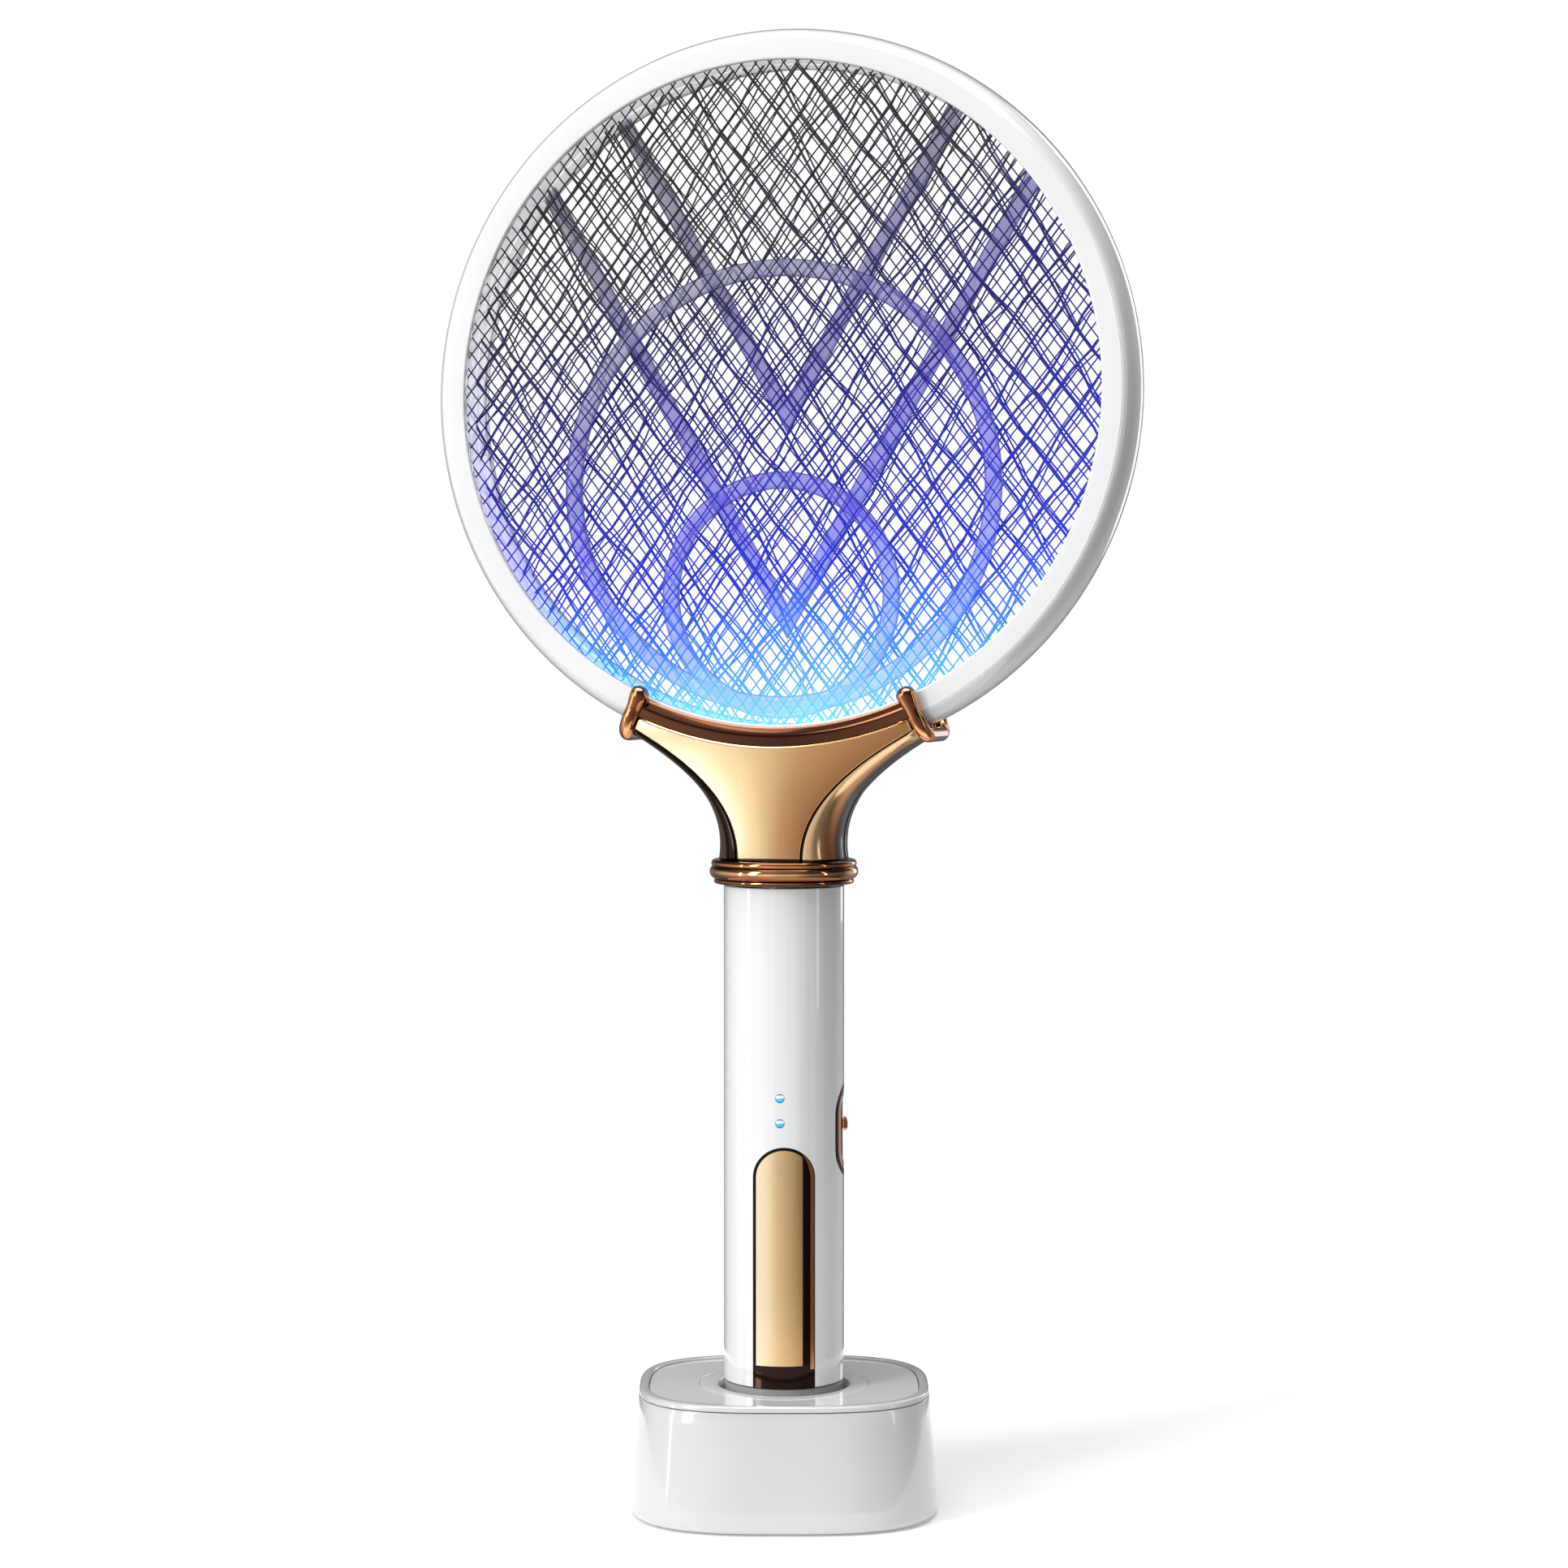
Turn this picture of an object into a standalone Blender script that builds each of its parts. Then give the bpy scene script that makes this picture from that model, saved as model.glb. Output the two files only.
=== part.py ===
"""Electric fly swatter standing in its charging dock.

Metres, +Z up.  The origin is the centre of the dock's underside, the handle's axis is Z and the
front of the dock, with the trigger, faces -Y.  The head swivels on the handle and is modelled
turned by HEAD_TURN.
"""
import bmesh
import bpy
from math import acos, copysign, cos, pi, radians, sin, sqrt, tan
from mathutils import Vector

MM = 0.001
GAP = 0.3 * MM                      # clearance left between faces that touch

# Charging dock
BASE_WIDTH = 95.2 * MM
BASE_DEPTH = 86.0 * MM
BASE_HEIGHT = 38.2 * MM
BASE_DRAFT_X = 3.2 * MM             # how far each side leans in by the top
BASE_DRAFT_Y = 4.0 * MM
BASE_SQUARENESS = 3.0               # exponent of the rounded outline
BASE_LIFT = 0.6 * MM                # shell's lower edge above the floor
BASE_FOOT_ROUND = 2.4 * MM
BASE_WALL = 2.4 * MM
RIM_HEIGHT = 1.8 * MM
RIM_WIDTH = 2.9 * MM
PANEL_STEP = 0.8 * MM               # panel's face below the rim's top
PLATE_THICKNESS = 2.0 * MM
FOOT_HEIGHT = 0.9 * MM
FOOT_RADIUS = 5.0 * MM
FOOT_INSET = 17.0 * MM
BOSS_RADIUS = 3.2 * MM
BOSS_INSET = 11.0 * MM
BASE_SCREW_RADIUS = 0.9 * MM
BASE_SCREW_HEAD = 2.5 * MM
BASE_SCREW_LENGTH = 10.0 * MM

# Dock socket and its electrics
CUP_FLOOR_TOP = 12.0 * MM           # room for the board and the pins below
SOCKET_CLEARANCE = 0.7 * MM         # around the handle's end cap
SOCKET_FUNNEL = 3.0 * MM
SOCKET_FLARE = 1.6 * MM
SOCKET_WALL = 3.6 * MM
SOCKET_FLOOR = 2.5 * MM
FLANGE_WIDTH = 5.5 * MM
BOARD_THICKNESS = 1.2 * MM
DOCK_BOARD_WIDTH = 36.0 * MM
PIN_RADIUS = 1.0 * MM
PIN_OFFSET = 9.0 * MM
PIN_TRAVEL = 1.2 * MM
PIN_BLOCK_RADIUS = 12.0 * MM
INLET_WIDTH = 8.9 * MM
INLET_HEIGHT = 3.3 * MM
INLET_DEPTH = 7.0 * MM
INLET_WALL = 0.35 * MM

# Handle
HANDLE_RADIUS = 18.5 * MM
HANDLE_WALL = 2.0 * MM
HANDLE_RISE = 0.9 * MM              # tube's lower edge above the dock
HANDLE_LENGTH = 152.1 * MM
CAP_STEP = 0.3 * MM                 # end cap is this much slimmer than the tube
CAP_SPIGOT = 7.0 * MM
CAP_WALL = 2.2 * MM
PAD_RADIUS = 3.0 * MM
CONTACT_RING_WIDTH = 3.0 * MM
CONTACT_THICKNESS = 1.2 * MM
CELL_RADIUS = 9.1 * MM
CELL_LENGTH = 65.0 * MM
CELL_RISE = 12.9 * MM               # above the tube's lower edge
CLIP_THICKNESS = 0.8 * MM
BOARD_WIDTH = 23.0 * MM
BOARD_RISE = 18.9 * MM
BOARD_HEADROOM = 13.0 * MM          # below the swivel's flange
BOARD_PLANE = 4.8 * MM              # board's middle in front of the axis
TRANSFORMER = (14 * MM, 12 * MM, 14 * MM)
CAPACITOR = (12 * MM, 6 * MM, 12 * MM)

# Trigger
PANEL_HALF_WIDTH = 9.45 * MM
PANEL_LENGTH = 73.3 * MM
PANEL_BORDER = 0.5 * MM
TRIGGER_FLANK = 3.28 * MM           # dark strip at the bar's right
TRIGGER_RISE = 6.9 * MM
TRIGGER_TRAVEL = 1.5 * MM
TRIGGER_PROUD = 0.1 * MM
BEZEL_FLANGE = 1.6 * MM
KEY_RISE = 50.9 * MM                # push switch behind the trigger
KEY_SIZE = 6.0 * MM
KEY_BODY = 3.3 * MM
KEY_STEM = 1.0 * MM

# Indicator lights and mode switch
LIGHT_RADIUS = 1.3 * MM
LIGHT_SIDE = -1.25 * MM
LIGHT_PITCH = 7.6 * MM
SWITCH_RISE = 3.8 * MM              # switch's middle above the trigger panel's top
SWITCH_HALF_WIDTH = 9.9 * MM
SWITCH_HALF_LENGTH = 14.5 * MM
SWITCH_CORNER = SWITCH_HALF_WIDTH - 0.5 * MM
SWITCH_BORDER = 1.9 * MM
SWITCH_FRAME_BAND = 2.2 * MM
SWITCH_RECESS = 1.5 * MM
SLIDER_SHIFT = 1.4 * MM             # rest position above the switch's middle
SLIDER_TRAVEL = 4.0 * MM
SLIDER_CAP = (5.2 * MM, 4.2 * MM)
SLIDER_STEM = (2.4 * MM, 3.0 * MM)
SLIDER_PROUD = 1.1 * MM

# Swivel between handle and head
HEAD_TURN = radians(-16.4)
SPIGOT_RADIUS = 9.0 * MM
SPIGOT_BORE = 6.0 * MM
SPIGOT_SEAT = 13.2 * MM             # flange's underside below the tube's top
SPIGOT_FLANGE = 4.0 * MM
SPIGOT_REACH = 21.8 * MM            # above the tube's top
BUSH_WALL = 2.2 * MM
BUSH_LENGTH = 15.9 * MM
CLIP_WALL = 3.0 * MM
CLIP_HEIGHT = 1.0 * MM
COLLAR_WALL = 2.1 * MM
COLLAR_SHORTFALL = 0.4 * MM         # sleeve's top below the bush's
BEAD_OVERHANG = 4.4 * MM
BEAD_ROUND = 3.7 * MM

# Head ring, measured from the centre of the mesh
MESH_RADIUS = 100.4 * MM
RING_WIDTH = 10.4 * MM
RING_HALF_DEPTH = 11.0 * MM
RING_BAND = 6.6 * MM                # flat front band
RING_WALL = 2.0 * MM
GRID_THICKNESS = 0.8 * MM
GRID_EDGE = 3.8 * MM                # grid's rim held inside the ring
GRID_DEPTH = 3.0 * MM               # outer grids' middle behind the ring's faces
GRID_CELL = (60 * MM, 76 * MM)
GRID_BAR = 2.6 * MM
HOOP_WIDTH = 4.1 * MM
RIB_WIDTH = 5.3 * MM
RIB_THICKNESS = 3.2 * MM
THINNER = 0.9                       # a rib that crosses another is this much thinner
LOOP_TAB_WIDTH = 12.0 * MM
BIG_LOOP_RADIUS = 66.5 * MM
BIG_LOOP_MARGIN = 5.9 * MM          # from the loop's lowest point to the mesh's edge
SMALL_LOOP_RADIUS = 35.0 * MM
SMALL_LOOP_MARGIN = 4.4 * MM
RIB_LEAN = radians(30.0)
INNER_RIB_DROP = 6.0 * MM
OUTER_RIB_DROP = 69.0 * MM
RING_BOSS_RADIUS = 1.5 * MM
RING_SCREW_RADIUS = 0.6 * MM
RING_SCREW_HEAD = 1.3 * MM
RING_SCREW_HEAD_DEPTH = 0.8 * MM
RING_SCREW_LENGTH = 9.0 * MM
RING_SCREW_ANGLES = (0, 60, 120, 240, 300)      # degrees from the top

# Throat that carries the ring
THROAT_HEIGHT = 39.0 * MM           # from the tube's top to the ring's lowest point
THROAT_PROUD = 2.5 * MM             # in front of the ring's face
THROAT_WALL = 1.5 * MM
NECK_STEP = 1.0 * MM                # neck's radius over the tube's
FACE_HALF_NECK = 10.8 * MM
FACE_OVERRUN = 0.6 * MM
FACE_FLARE_POWER = 2.15
CHEEK_WIDTH = 6.3 * MM
THROAT_LEVELS = 8
FERRULE_ANGLE = radians(24.7)       # from the lowest point of the ring
FERRULE_ROUND = 2.6 * MM
BAND_MARGIN = 1.1 * MM              # dark band's inner edge outside the mesh's
LAMP_BOARD = (24 * MM, 10 * MM, 1 * MM)
LAMP_SIZE = 3.5 * MM
LAMP_HEIGHT = 0.9 * MM
LAMP_OFFSET = 7.0 * MM

ROUND_STEPS = 36                    # facets round the handle
RING_STEPS = 40
BASE_STEPS = 32
SMALL_STEPS = 16

FACING_FRONT = (pi / 2, 0, 0)       # local Z to -Y
FACING_RIGHT = (pi / 2, 0, pi / 2)  # local Z to +X
UPRIGHT = (0, 0, 0)

# Places that follow from the sizes above
HANDLE_BOTTOM = BASE_HEIGHT + HANDLE_RISE
HANDLE_TOP = HANDLE_BOTTOM + HANDLE_LENGTH
CAP_RADIUS = HANDLE_RADIUS - CAP_STEP
CUP_INNER = CAP_RADIUS + SOCKET_CLEARANCE
CUP_OUTER = CUP_INNER + SOCKET_WALL
SOCKET_MOUTH = CUP_INNER + SOCKET_FLARE
FLANGE_RADIUS = SOCKET_MOUTH + FLANGE_WIDTH
PANEL_APEX = HANDLE_BOTTOM + PANEL_LENGTH
TRIGGER_HALF_WIDTH = PANEL_HALF_WIDTH - PANEL_BORDER
TRIGGER_RIGHT = TRIGGER_HALF_WIDTH - TRIGGER_FLANK
TRIGGER_BOTTOM = HANDLE_BOTTOM + TRIGGER_RISE
KEY_HEIGHT = HANDLE_BOTTOM + KEY_RISE
LIGHT_HEIGHTS = (PANEL_APEX + LIGHT_PITCH, PANEL_APEX + 2 * LIGHT_PITCH)
SWITCH_HEIGHT = PANEL_APEX + SWITCH_RISE
SPIGOT_FLANGE_BOTTOM = HANDLE_TOP - SPIGOT_SEAT
SPIGOT_TOP = HANDLE_TOP + SPIGOT_REACH
BUSH_TOP = HANDLE_TOP + GAP + BUSH_LENGTH
COLLAR_SLEEVE_TOP = BUSH_TOP - COLLAR_SHORTFALL
BEAD_RADIUS = HANDLE_RADIUS + BEAD_OVERHANG
BEAD_HEIGHT = HANDLE_TOP + 2 * GAP + BEAD_ROUND
RING_RADIUS = MESH_RADIUS + RING_WIDTH
HEAD_HEIGHT = HANDLE_TOP + THROAT_HEIGHT + RING_RADIUS
GRID_PLANE = RING_HALF_DEPTH - GRID_DEPTH
BAND_UPPER = MESH_RADIUS + BAND_MARGIN
BAND_LOWER = MESH_RADIUS + RING_BAND
THROAT_HALF_DEPTH = RING_HALF_DEPTH + THROAT_PROUD
THROAT_BOTTOM = BEAD_HEIGHT + BEAD_ROUND + GAP
EDGE_ANGLE = FERRULE_ANGLE - (FERRULE_ROUND + GAP) / BAND_UPPER
NECK_RADIUS = HANDLE_RADIUS + NECK_STEP
FLARE_TOP = HEAD_HEIGHT - MESH_RADIUS - 2 * GAP
FACE_FLARE = tan(EDGE_ANGLE) * (HEAD_HEIGHT - FLARE_TOP) + FACE_OVERRUN - FACE_HALF_NECK

for left_over in list(bpy.data.objects):
    bpy.data.objects.remove(left_over, do_unlink=True)

PARTS = bpy.data.collections.new("electric_fly_swatter")
TOOLS = bpy.data.collections.new("cutting_tools")
bpy.context.scene.collection.children.link(PARTS)
bpy.context.scene.collection.children.link(TOOLS)


# ---------------------------------------------------------------- materials

def finish(name, colour, roughness, metallic=0.0, alpha=1.0):
    """A Principled material."""
    material = bpy.data.materials.new(name)
    material.use_nodes = True
    shader = material.node_tree.nodes["Principled BSDF"]
    shader.inputs["Base Color"].default_value = (*colour, 1)
    shader.inputs["Roughness"].default_value = roughness
    shader.inputs["Metallic"].default_value = metallic
    shader.inputs["Alpha"].default_value = alpha
    material.diffuse_color = (*colour, alpha)
    return material


GLOSS_WHITE = finish("gloss_white", (0.90, 0.90, 0.91), 0.18)
PANEL_GREY = finish("panel_grey", (0.78, 0.79, 0.80), 0.08)
CUP_GREY = finish("cup_grey", (0.55, 0.56, 0.57), 0.30)
CAP_GREY = finish("cap_grey", (0.42, 0.42, 0.43), 0.35)
ROSE_GOLD = finish("rose_gold", (0.86, 0.62, 0.36), 0.14, 1.0)
COPPER = finish("copper", (0.78, 0.36, 0.18), 0.16, 1.0)
DARK_BRONZE = finish("dark_bronze", (0.10, 0.035, 0.015), 0.15, 0.8)
GLOSS_BLACK = finish("gloss_black", (0.012, 0.013, 0.015), 0.12)
RUBBER = finish("rubber", (0.06, 0.06, 0.06), 0.8)
STEEL = finish("steel", (0.62, 0.63, 0.65), 0.3, 1.0)
GOLD_CONTACT = finish("gold_contact", (0.85, 0.62, 0.25), 0.25, 1.0)
BOARD_GREEN = finish("board_green", (0.03, 0.22, 0.10), 0.4)
BLACK_PLASTIC = finish("black_plastic", (0.03, 0.03, 0.03), 0.5)
NATURAL_PLASTIC = finish("natural_plastic", (0.80, 0.78, 0.70), 0.5)
CELL_WRAP = finish("cell_wrap", (0.06, 0.25, 0.55), 0.35)
COPPER_TAPE = finish("winding_tape", (0.75, 0.60, 0.12), 0.4)
LIGHT_BLUE = finish("indicator_blue", (0.10, 0.55, 0.95), 0.1)
GRID_WIRE = finish("grid_wire", (0.05, 0.05, 0.16), 0.35, 0.9)
RIB_VIOLET = finish("rib_violet", (0.28, 0.26, 0.85), 0.2, 0.0, 0.7)
LAMP_WHITE = finish("lamp_white", (0.75, 0.80, 1.0), 0.3)


# ---------------------------------------------------------------- shape helpers

def place(name, mesh, material, at=(0, 0, 0), facing=UPRIGHT, parent=None):
    """Put a mesh in the parts collection as a named object."""
    mesh.materials.clear()
    mesh.materials.append(material)
    obj = bpy.data.objects.new(name, mesh)
    obj.location = at
    obj.rotation_euler = facing
    obj.parent = parent
    PARTS.objects.link(obj)
    return obj


def smooth(mesh):
    """Shade round faces smooth and keep true edges sharp."""
    mesh.shade_smooth()
    mesh.set_sharp_from_angle(angle=radians(35))


def from_bmesh(name, shape):
    """Turn a bmesh into mesh data."""
    mesh = bpy.data.meshes.new(name)
    shape.to_mesh(mesh)
    shape.free()
    smooth(mesh)
    return mesh


def combine(target, tool, operation, folded=False):
    """Cut, join or intersect a part with a tool, which leaves the model; folded parts cross themselves."""
    for collection in list(tool.users_collection):
        collection.objects.unlink(tool)
    TOOLS.objects.link(tool)
    tool.hide_render = True
    tool.display_type = "WIRE"
    modifier = target.modifiers.new(operation.lower(), "BOOLEAN")
    modifier.operation = operation
    modifier.solver = "EXACT"
    modifier.use_self = folded
    modifier.object = tool
    return target


def cut(target, tool, folded=False):
    return combine(target, tool, "DIFFERENCE", folded)


def join(target, tool):
    return combine(target, tool, "UNION")


def common(target, tool):
    return combine(target, tool, "INTERSECT")


def block(name, size, material, at=(0, 0, 0), facing=UPRIGHT, parent=None):
    """A box by its full sizes."""
    shape = bmesh.new()
    bmesh.ops.create_cube(shape, size=1)
    bmesh.ops.scale(shape, vec=size, verts=shape.verts)
    return place(name, from_bmesh(name, shape), material, at, facing, parent)


def drum(name, radius, length, material, at=(0, 0, 0), facing=UPRIGHT, parent=None,
         steps=SMALL_STEPS):
    """A cylinder about its local Z, centred."""
    shape = bmesh.new()
    bmesh.ops.create_cone(shape, cap_ends=True, segments=steps,
                          radius1=radius, radius2=radius, depth=length)
    return place(name, from_bmesh(name, shape), material, at, facing, parent)


def turned(name, profile, material, at=(0, 0, 0), facing=UPRIGHT, parent=None,
           steps=ROUND_STEPS, ring=True):
    """Turn (radius, height) points about local Z; the outer side runs from top to bottom."""
    shape = bmesh.new()
    verts = [shape.verts.new((radius, 0, height)) for radius, height in profile]
    for first, second in zip(verts, verts[1:]):
        shape.edges.new((first, second))
    if ring:
        shape.edges.new((verts[-1], verts[0]))
    obj = place(name, from_bmesh(name, shape), material, at, facing, parent)
    screw = obj.modifiers.new("turn", "SCREW")
    screw.axis = "Z"
    screw.angle = 2 * pi
    screw.steps = steps
    screw.render_steps = steps
    screw.use_merge_vertices = True
    screw.merge_threshold = 0.00001
    screw.use_smooth_shade = True
    return obj


def plate(name, loops, thickness, material, at=(0, 0, 0), facing=UPRIGHT, parent=None):
    """A flat filled outline, the first loop outside and any others holes, centred on local z = 0."""
    curve = bpy.data.curves.new(name, "CURVE")
    curve.dimensions = "2D"
    curve.fill_mode = "BOTH"
    curve.extrude = thickness / 2
    for loop in loops:
        spline = curve.splines.new("POLY")
        spline.points.add(len(loop) - 1)
        for point, (x, y) in zip(spline.points, loop):
            point.co = (x, y, 0, 1)
        spline.use_cyclic_u = True
    mesh = mesh_of_curve(name, curve)
    return place(name, mesh, material, at, facing, parent)


def mesh_of_curve(name, curve):
    """Closed mesh of a curve, with its caps welded on."""
    drawn = bpy.data.objects.new(name + "_outline", curve)
    PARTS.objects.link(drawn)
    depsgraph = bpy.context.evaluated_depsgraph_get()
    mesh = bpy.data.meshes.new_from_object(drawn.evaluated_get(depsgraph))
    bpy.data.objects.remove(drawn)
    shape = bmesh.new()
    shape.from_mesh(mesh)
    bmesh.ops.remove_doubles(shape, verts=shape.verts, dist=0.00001)
    bmesh.ops.recalc_face_normals(shape, faces=shape.faces)
    shape.to_mesh(mesh)
    shape.free()
    smooth(mesh)
    return mesh


def stacked(name, levels, material):
    """Rounded-rectangle slices, bottom first, each (height, half width, half depth)."""
    shape = bmesh.new()
    bmesh.ops.create_circle(shape, cap_ends=True, segments=BASE_STEPS, radius=1)
    top = shape.faces[:][0]
    power = 2 / BASE_SQUARENESS
    for index, (height, half_x, half_y) in enumerate(levels):
        if index:
            grown = bmesh.ops.extrude_face_region(shape, geom=[top])["geom"]
            if index > 1:
                bmesh.ops.delete(shape, geom=[top], context="FACES_ONLY")
            top = next(item for item in grown if isinstance(item, bmesh.types.BMFace))
        for step, loop in enumerate(top.loops):
            turn = 2 * pi * step / BASE_STEPS
            across = copysign(abs(cos(turn)) ** power, cos(turn))
            along = copysign(abs(sin(turn)) ** power, sin(turn))
            loop.vert.co = Vector((half_x * across, half_y * along, height))
    bmesh.ops.recalc_face_normals(shape, faces=shape.faces)
    return place(name, from_bmesh(name, shape), material)


def arc(centre, radius, start, end, count):
    """Points of an arc in a plane, angles in radians."""
    points = []
    for step in range(count + 1):
        angle = start + (end - start) * step / count
        points.append((centre[0] + radius * cos(angle), centre[1] + radius * sin(angle)))
    return points


def arch(half_width, bottom, centre, right=None):
    """Round-topped outline; right cuts its right-hand side off straight."""
    right = half_width if right is None else right
    crown = arc((0, centre), half_width, acos(right / half_width), pi, 14)
    return [(-half_width, bottom), (right, bottom)] + crown


def pill(half_width, half_length, corner, middle=0.0):
    """Upright outline with large round corners."""
    points = []
    for side_x, side_y, start in ((1, 1, 0), (-1, 1, pi / 2), (-1, -1, pi), (1, -1, 3 * pi / 2)):
        centre = (side_x * (half_width - corner), middle + side_y * (half_length - corner))
        points += arc(centre, corner, start, start + pi / 2, 5)
    return points


def curved_plate(name, inner, outer, loops, facing, material):
    """The piece of a tube wall between two radii that an outline cuts out of it."""
    heights = [y for _, y in loops[0]]
    low, high = min(heights) - 2 * MM, max(heights) + 2 * MM
    wall = turned(name, [(inner, high), (outer, high), (outer, low), (inner, low)], material)
    reach = 2 * HANDLE_RADIUS
    middle = HANDLE_RADIUS
    at = (0, -middle, 0) if facing == FACING_FRONT else (middle, 0, 0)
    return common(wall, plate(name + "_outline", loops, reach - 10 * MM, material, at, facing))


# ---------------------------------------------------------------- charging dock

def base_half_sizes(height, inset=0.0):
    """Half width and half depth of the dock at a height, less an inset."""
    share = (height - BASE_LIFT - BASE_FOOT_ROUND) / (BASE_HEIGHT - BASE_LIFT - BASE_FOOT_ROUND)
    return (BASE_WIDTH / 2 - BASE_DRAFT_X * share - inset, BASE_DEPTH / 2 - BASE_DRAFT_Y * share - inset)


RIM_BOTTOM = BASE_HEIGHT - RIM_HEIGHT
SHELL_TOP = RIM_BOTTOM - GAP
PANEL_TOP = BASE_HEIGHT - PANEL_STEP
CEILING = SHELL_TOP - BASE_WALL
PLATE_BOTTOM = FOOT_HEIGHT + GAP
PLATE_TOP = PLATE_BOTTOM + PLATE_THICKNESS
CUP_BOTTOM = CUP_FLOOR_TOP - SOCKET_FLOOR
DOCK_BOARD_BOTTOM = PLATE_TOP + 0.8 * MM
DOCK_BOARD_TOP = DOCK_BOARD_BOTTOM + BOARD_THICKNESS
PIN_TIP = CUP_FLOOR_TOP + PIN_TRAVEL - GAP
PIN_FOOT = DOCK_BOARD_TOP + PIN_TRAVEL + GAP
INLET_HEIGHT_CENTRE = DOCK_BOARD_TOP + GAP + INLET_HEIGHT / 2
INLET_FACE = base_half_sizes(INLET_HEIGHT_CENTRE)[1] - 0.6 * MM
BOSS_X = BASE_WIDTH / 2 - BOSS_INSET


def make_base():
    """Shell, rim, panel, bottom plate, feet and screws."""
    foot_curve = []
    for angle in (0, 30, 60, 90):
        drop = 1 - sin(radians(angle))
        height = BASE_LIFT + BASE_FOOT_ROUND * (1 - cos(radians(angle)))
        half_x, half_y = base_half_sizes(BASE_LIFT + BASE_FOOT_ROUND, BASE_FOOT_ROUND * drop * 0.7)
        foot_curve.append((height, half_x, half_y))
    shell = stacked("base_shell", foot_curve + [(SHELL_TOP, *base_half_sizes(SHELL_TOP))], GLOSS_WHITE)
    low = base_half_sizes(BASE_LIFT + BASE_FOOT_ROUND, BASE_WALL)
    high = base_half_sizes(CEILING, BASE_WALL)
    cut(shell, stacked("base_hollow", [(-1 * MM, *low), (PLATE_TOP, *low), (CEILING, *high)], GLOSS_WHITE))
    boss_bottom = PLATE_TOP + GAP
    boss_length = CEILING + 1 * MM - boss_bottom
    for side in (-1, 1):
        at = (side * BOSS_X, 0, boss_bottom + boss_length / 2)
        join(shell, drum(f"base_boss_{side}", BOSS_RADIUS, boss_length, GLOSS_WHITE, at))
        at = (side * BOSS_X, 0, PLATE_TOP)
        hole = BASE_SCREW_RADIUS + GAP
        cut(shell, drum(f"base_boss_hole_{side}", hole, 2 * BASE_SCREW_LENGTH + 2 * MM, GLOSS_WHITE, at))
    cup_hole = drum("cup_hole", CUP_OUTER + GAP, 12 * MM, GLOSS_WHITE, (0, 0, SHELL_TOP), steps=ROUND_STEPS)
    cut(shell, cup_hole)
    inlet = pill(INLET_WIDTH / 2 + GAP, INLET_HEIGHT / 2 + GAP, INLET_HEIGHT / 2)
    at = (0, BASE_DEPTH / 2, INLET_HEIGHT_CENTRE)
    cut(shell, plate("inlet_hole", [inlet], 12 * MM, GLOSS_WHITE, at, FACING_FRONT))

    rim_levels = []
    for share, inset in ((0, 0), (0.6, 0.1 * MM), (0.88, 0.5 * MM), (1, 1.1 * MM)):
        height = RIM_BOTTOM + RIM_HEIGHT * share
        rim_levels.append((height, *base_half_sizes(height, inset)))
    rim = stacked("base_rim", rim_levels, GLOSS_WHITE)
    inside = base_half_sizes(BASE_HEIGHT, RIM_WIDTH)
    opening = [(RIM_BOTTOM - 1 * MM, *inside), (BASE_HEIGHT + 1 * MM, *inside)]
    cut(rim, stacked("rim_opening", opening, GLOSS_WHITE))

    edge = base_half_sizes(BASE_HEIGHT, RIM_WIDTH + GAP)
    panel = stacked("base_top_panel", [(RIM_BOTTOM, *edge), (PANEL_TOP, *edge)], PANEL_GREY)
    at = (0, 0, PANEL_TOP)
    opening = drum("panel_opening", FLANGE_RADIUS + GAP, 12 * MM, PANEL_GREY, at, steps=ROUND_STEPS)
    cut(panel, opening)

    edge = base_half_sizes(BASE_LIFT + BASE_FOOT_ROUND, BASE_WALL + GAP)
    bottom = stacked("base_bottom_plate", [(PLATE_BOTTOM, *edge), (PLATE_TOP, *edge)], CUP_GREY)
    head_height = 0.8 * MM
    for number, side in enumerate((-1, 1), 1):
        place_x = side * BOSS_X
        at = (place_x, 0, PLATE_TOP)
        cut(bottom, drum(f"plate_hole_{number}", BASE_SCREW_RADIUS + 2 * GAP, 9 * MM, CUP_GREY, at))
        at = (place_x, 0, PLATE_BOTTOM)
        sink_depth = 2 * (head_height + 2 * GAP)
        cut(bottom, drum(f"plate_sink_{number}", BASE_SCREW_HEAD + GAP, sink_depth, CUP_GREY, at))
        head_top = PLATE_BOTTOM + head_height + GAP
        profile = [
            (0, head_top + BASE_SCREW_LENGTH),
            (BASE_SCREW_RADIUS, head_top + BASE_SCREW_LENGTH),
            (BASE_SCREW_RADIUS, head_top),
            (BASE_SCREW_HEAD, head_top),
            (BASE_SCREW_HEAD, PLATE_BOTTOM + GAP),
            (0, PLATE_BOTTOM + GAP),
        ]
        turned(f"base_screw_{number}", profile, STEEL, (place_x, 0, 0), steps=12, ring=False)
    foot_x, foot_y = BASE_WIDTH / 2 - FOOT_INSET, BASE_DEPTH / 2 - FOOT_INSET
    corners = [(-1, -1), (1, -1), (1, 1), (-1, 1)]
    for number, (side_x, side_y) in enumerate(corners, 1):
        at = (side_x * foot_x, side_y * foot_y, FOOT_HEIGHT / 2)
        drum(f"foot_{number}", FOOT_RADIUS, FOOT_HEIGHT, RUBBER, at)


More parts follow.
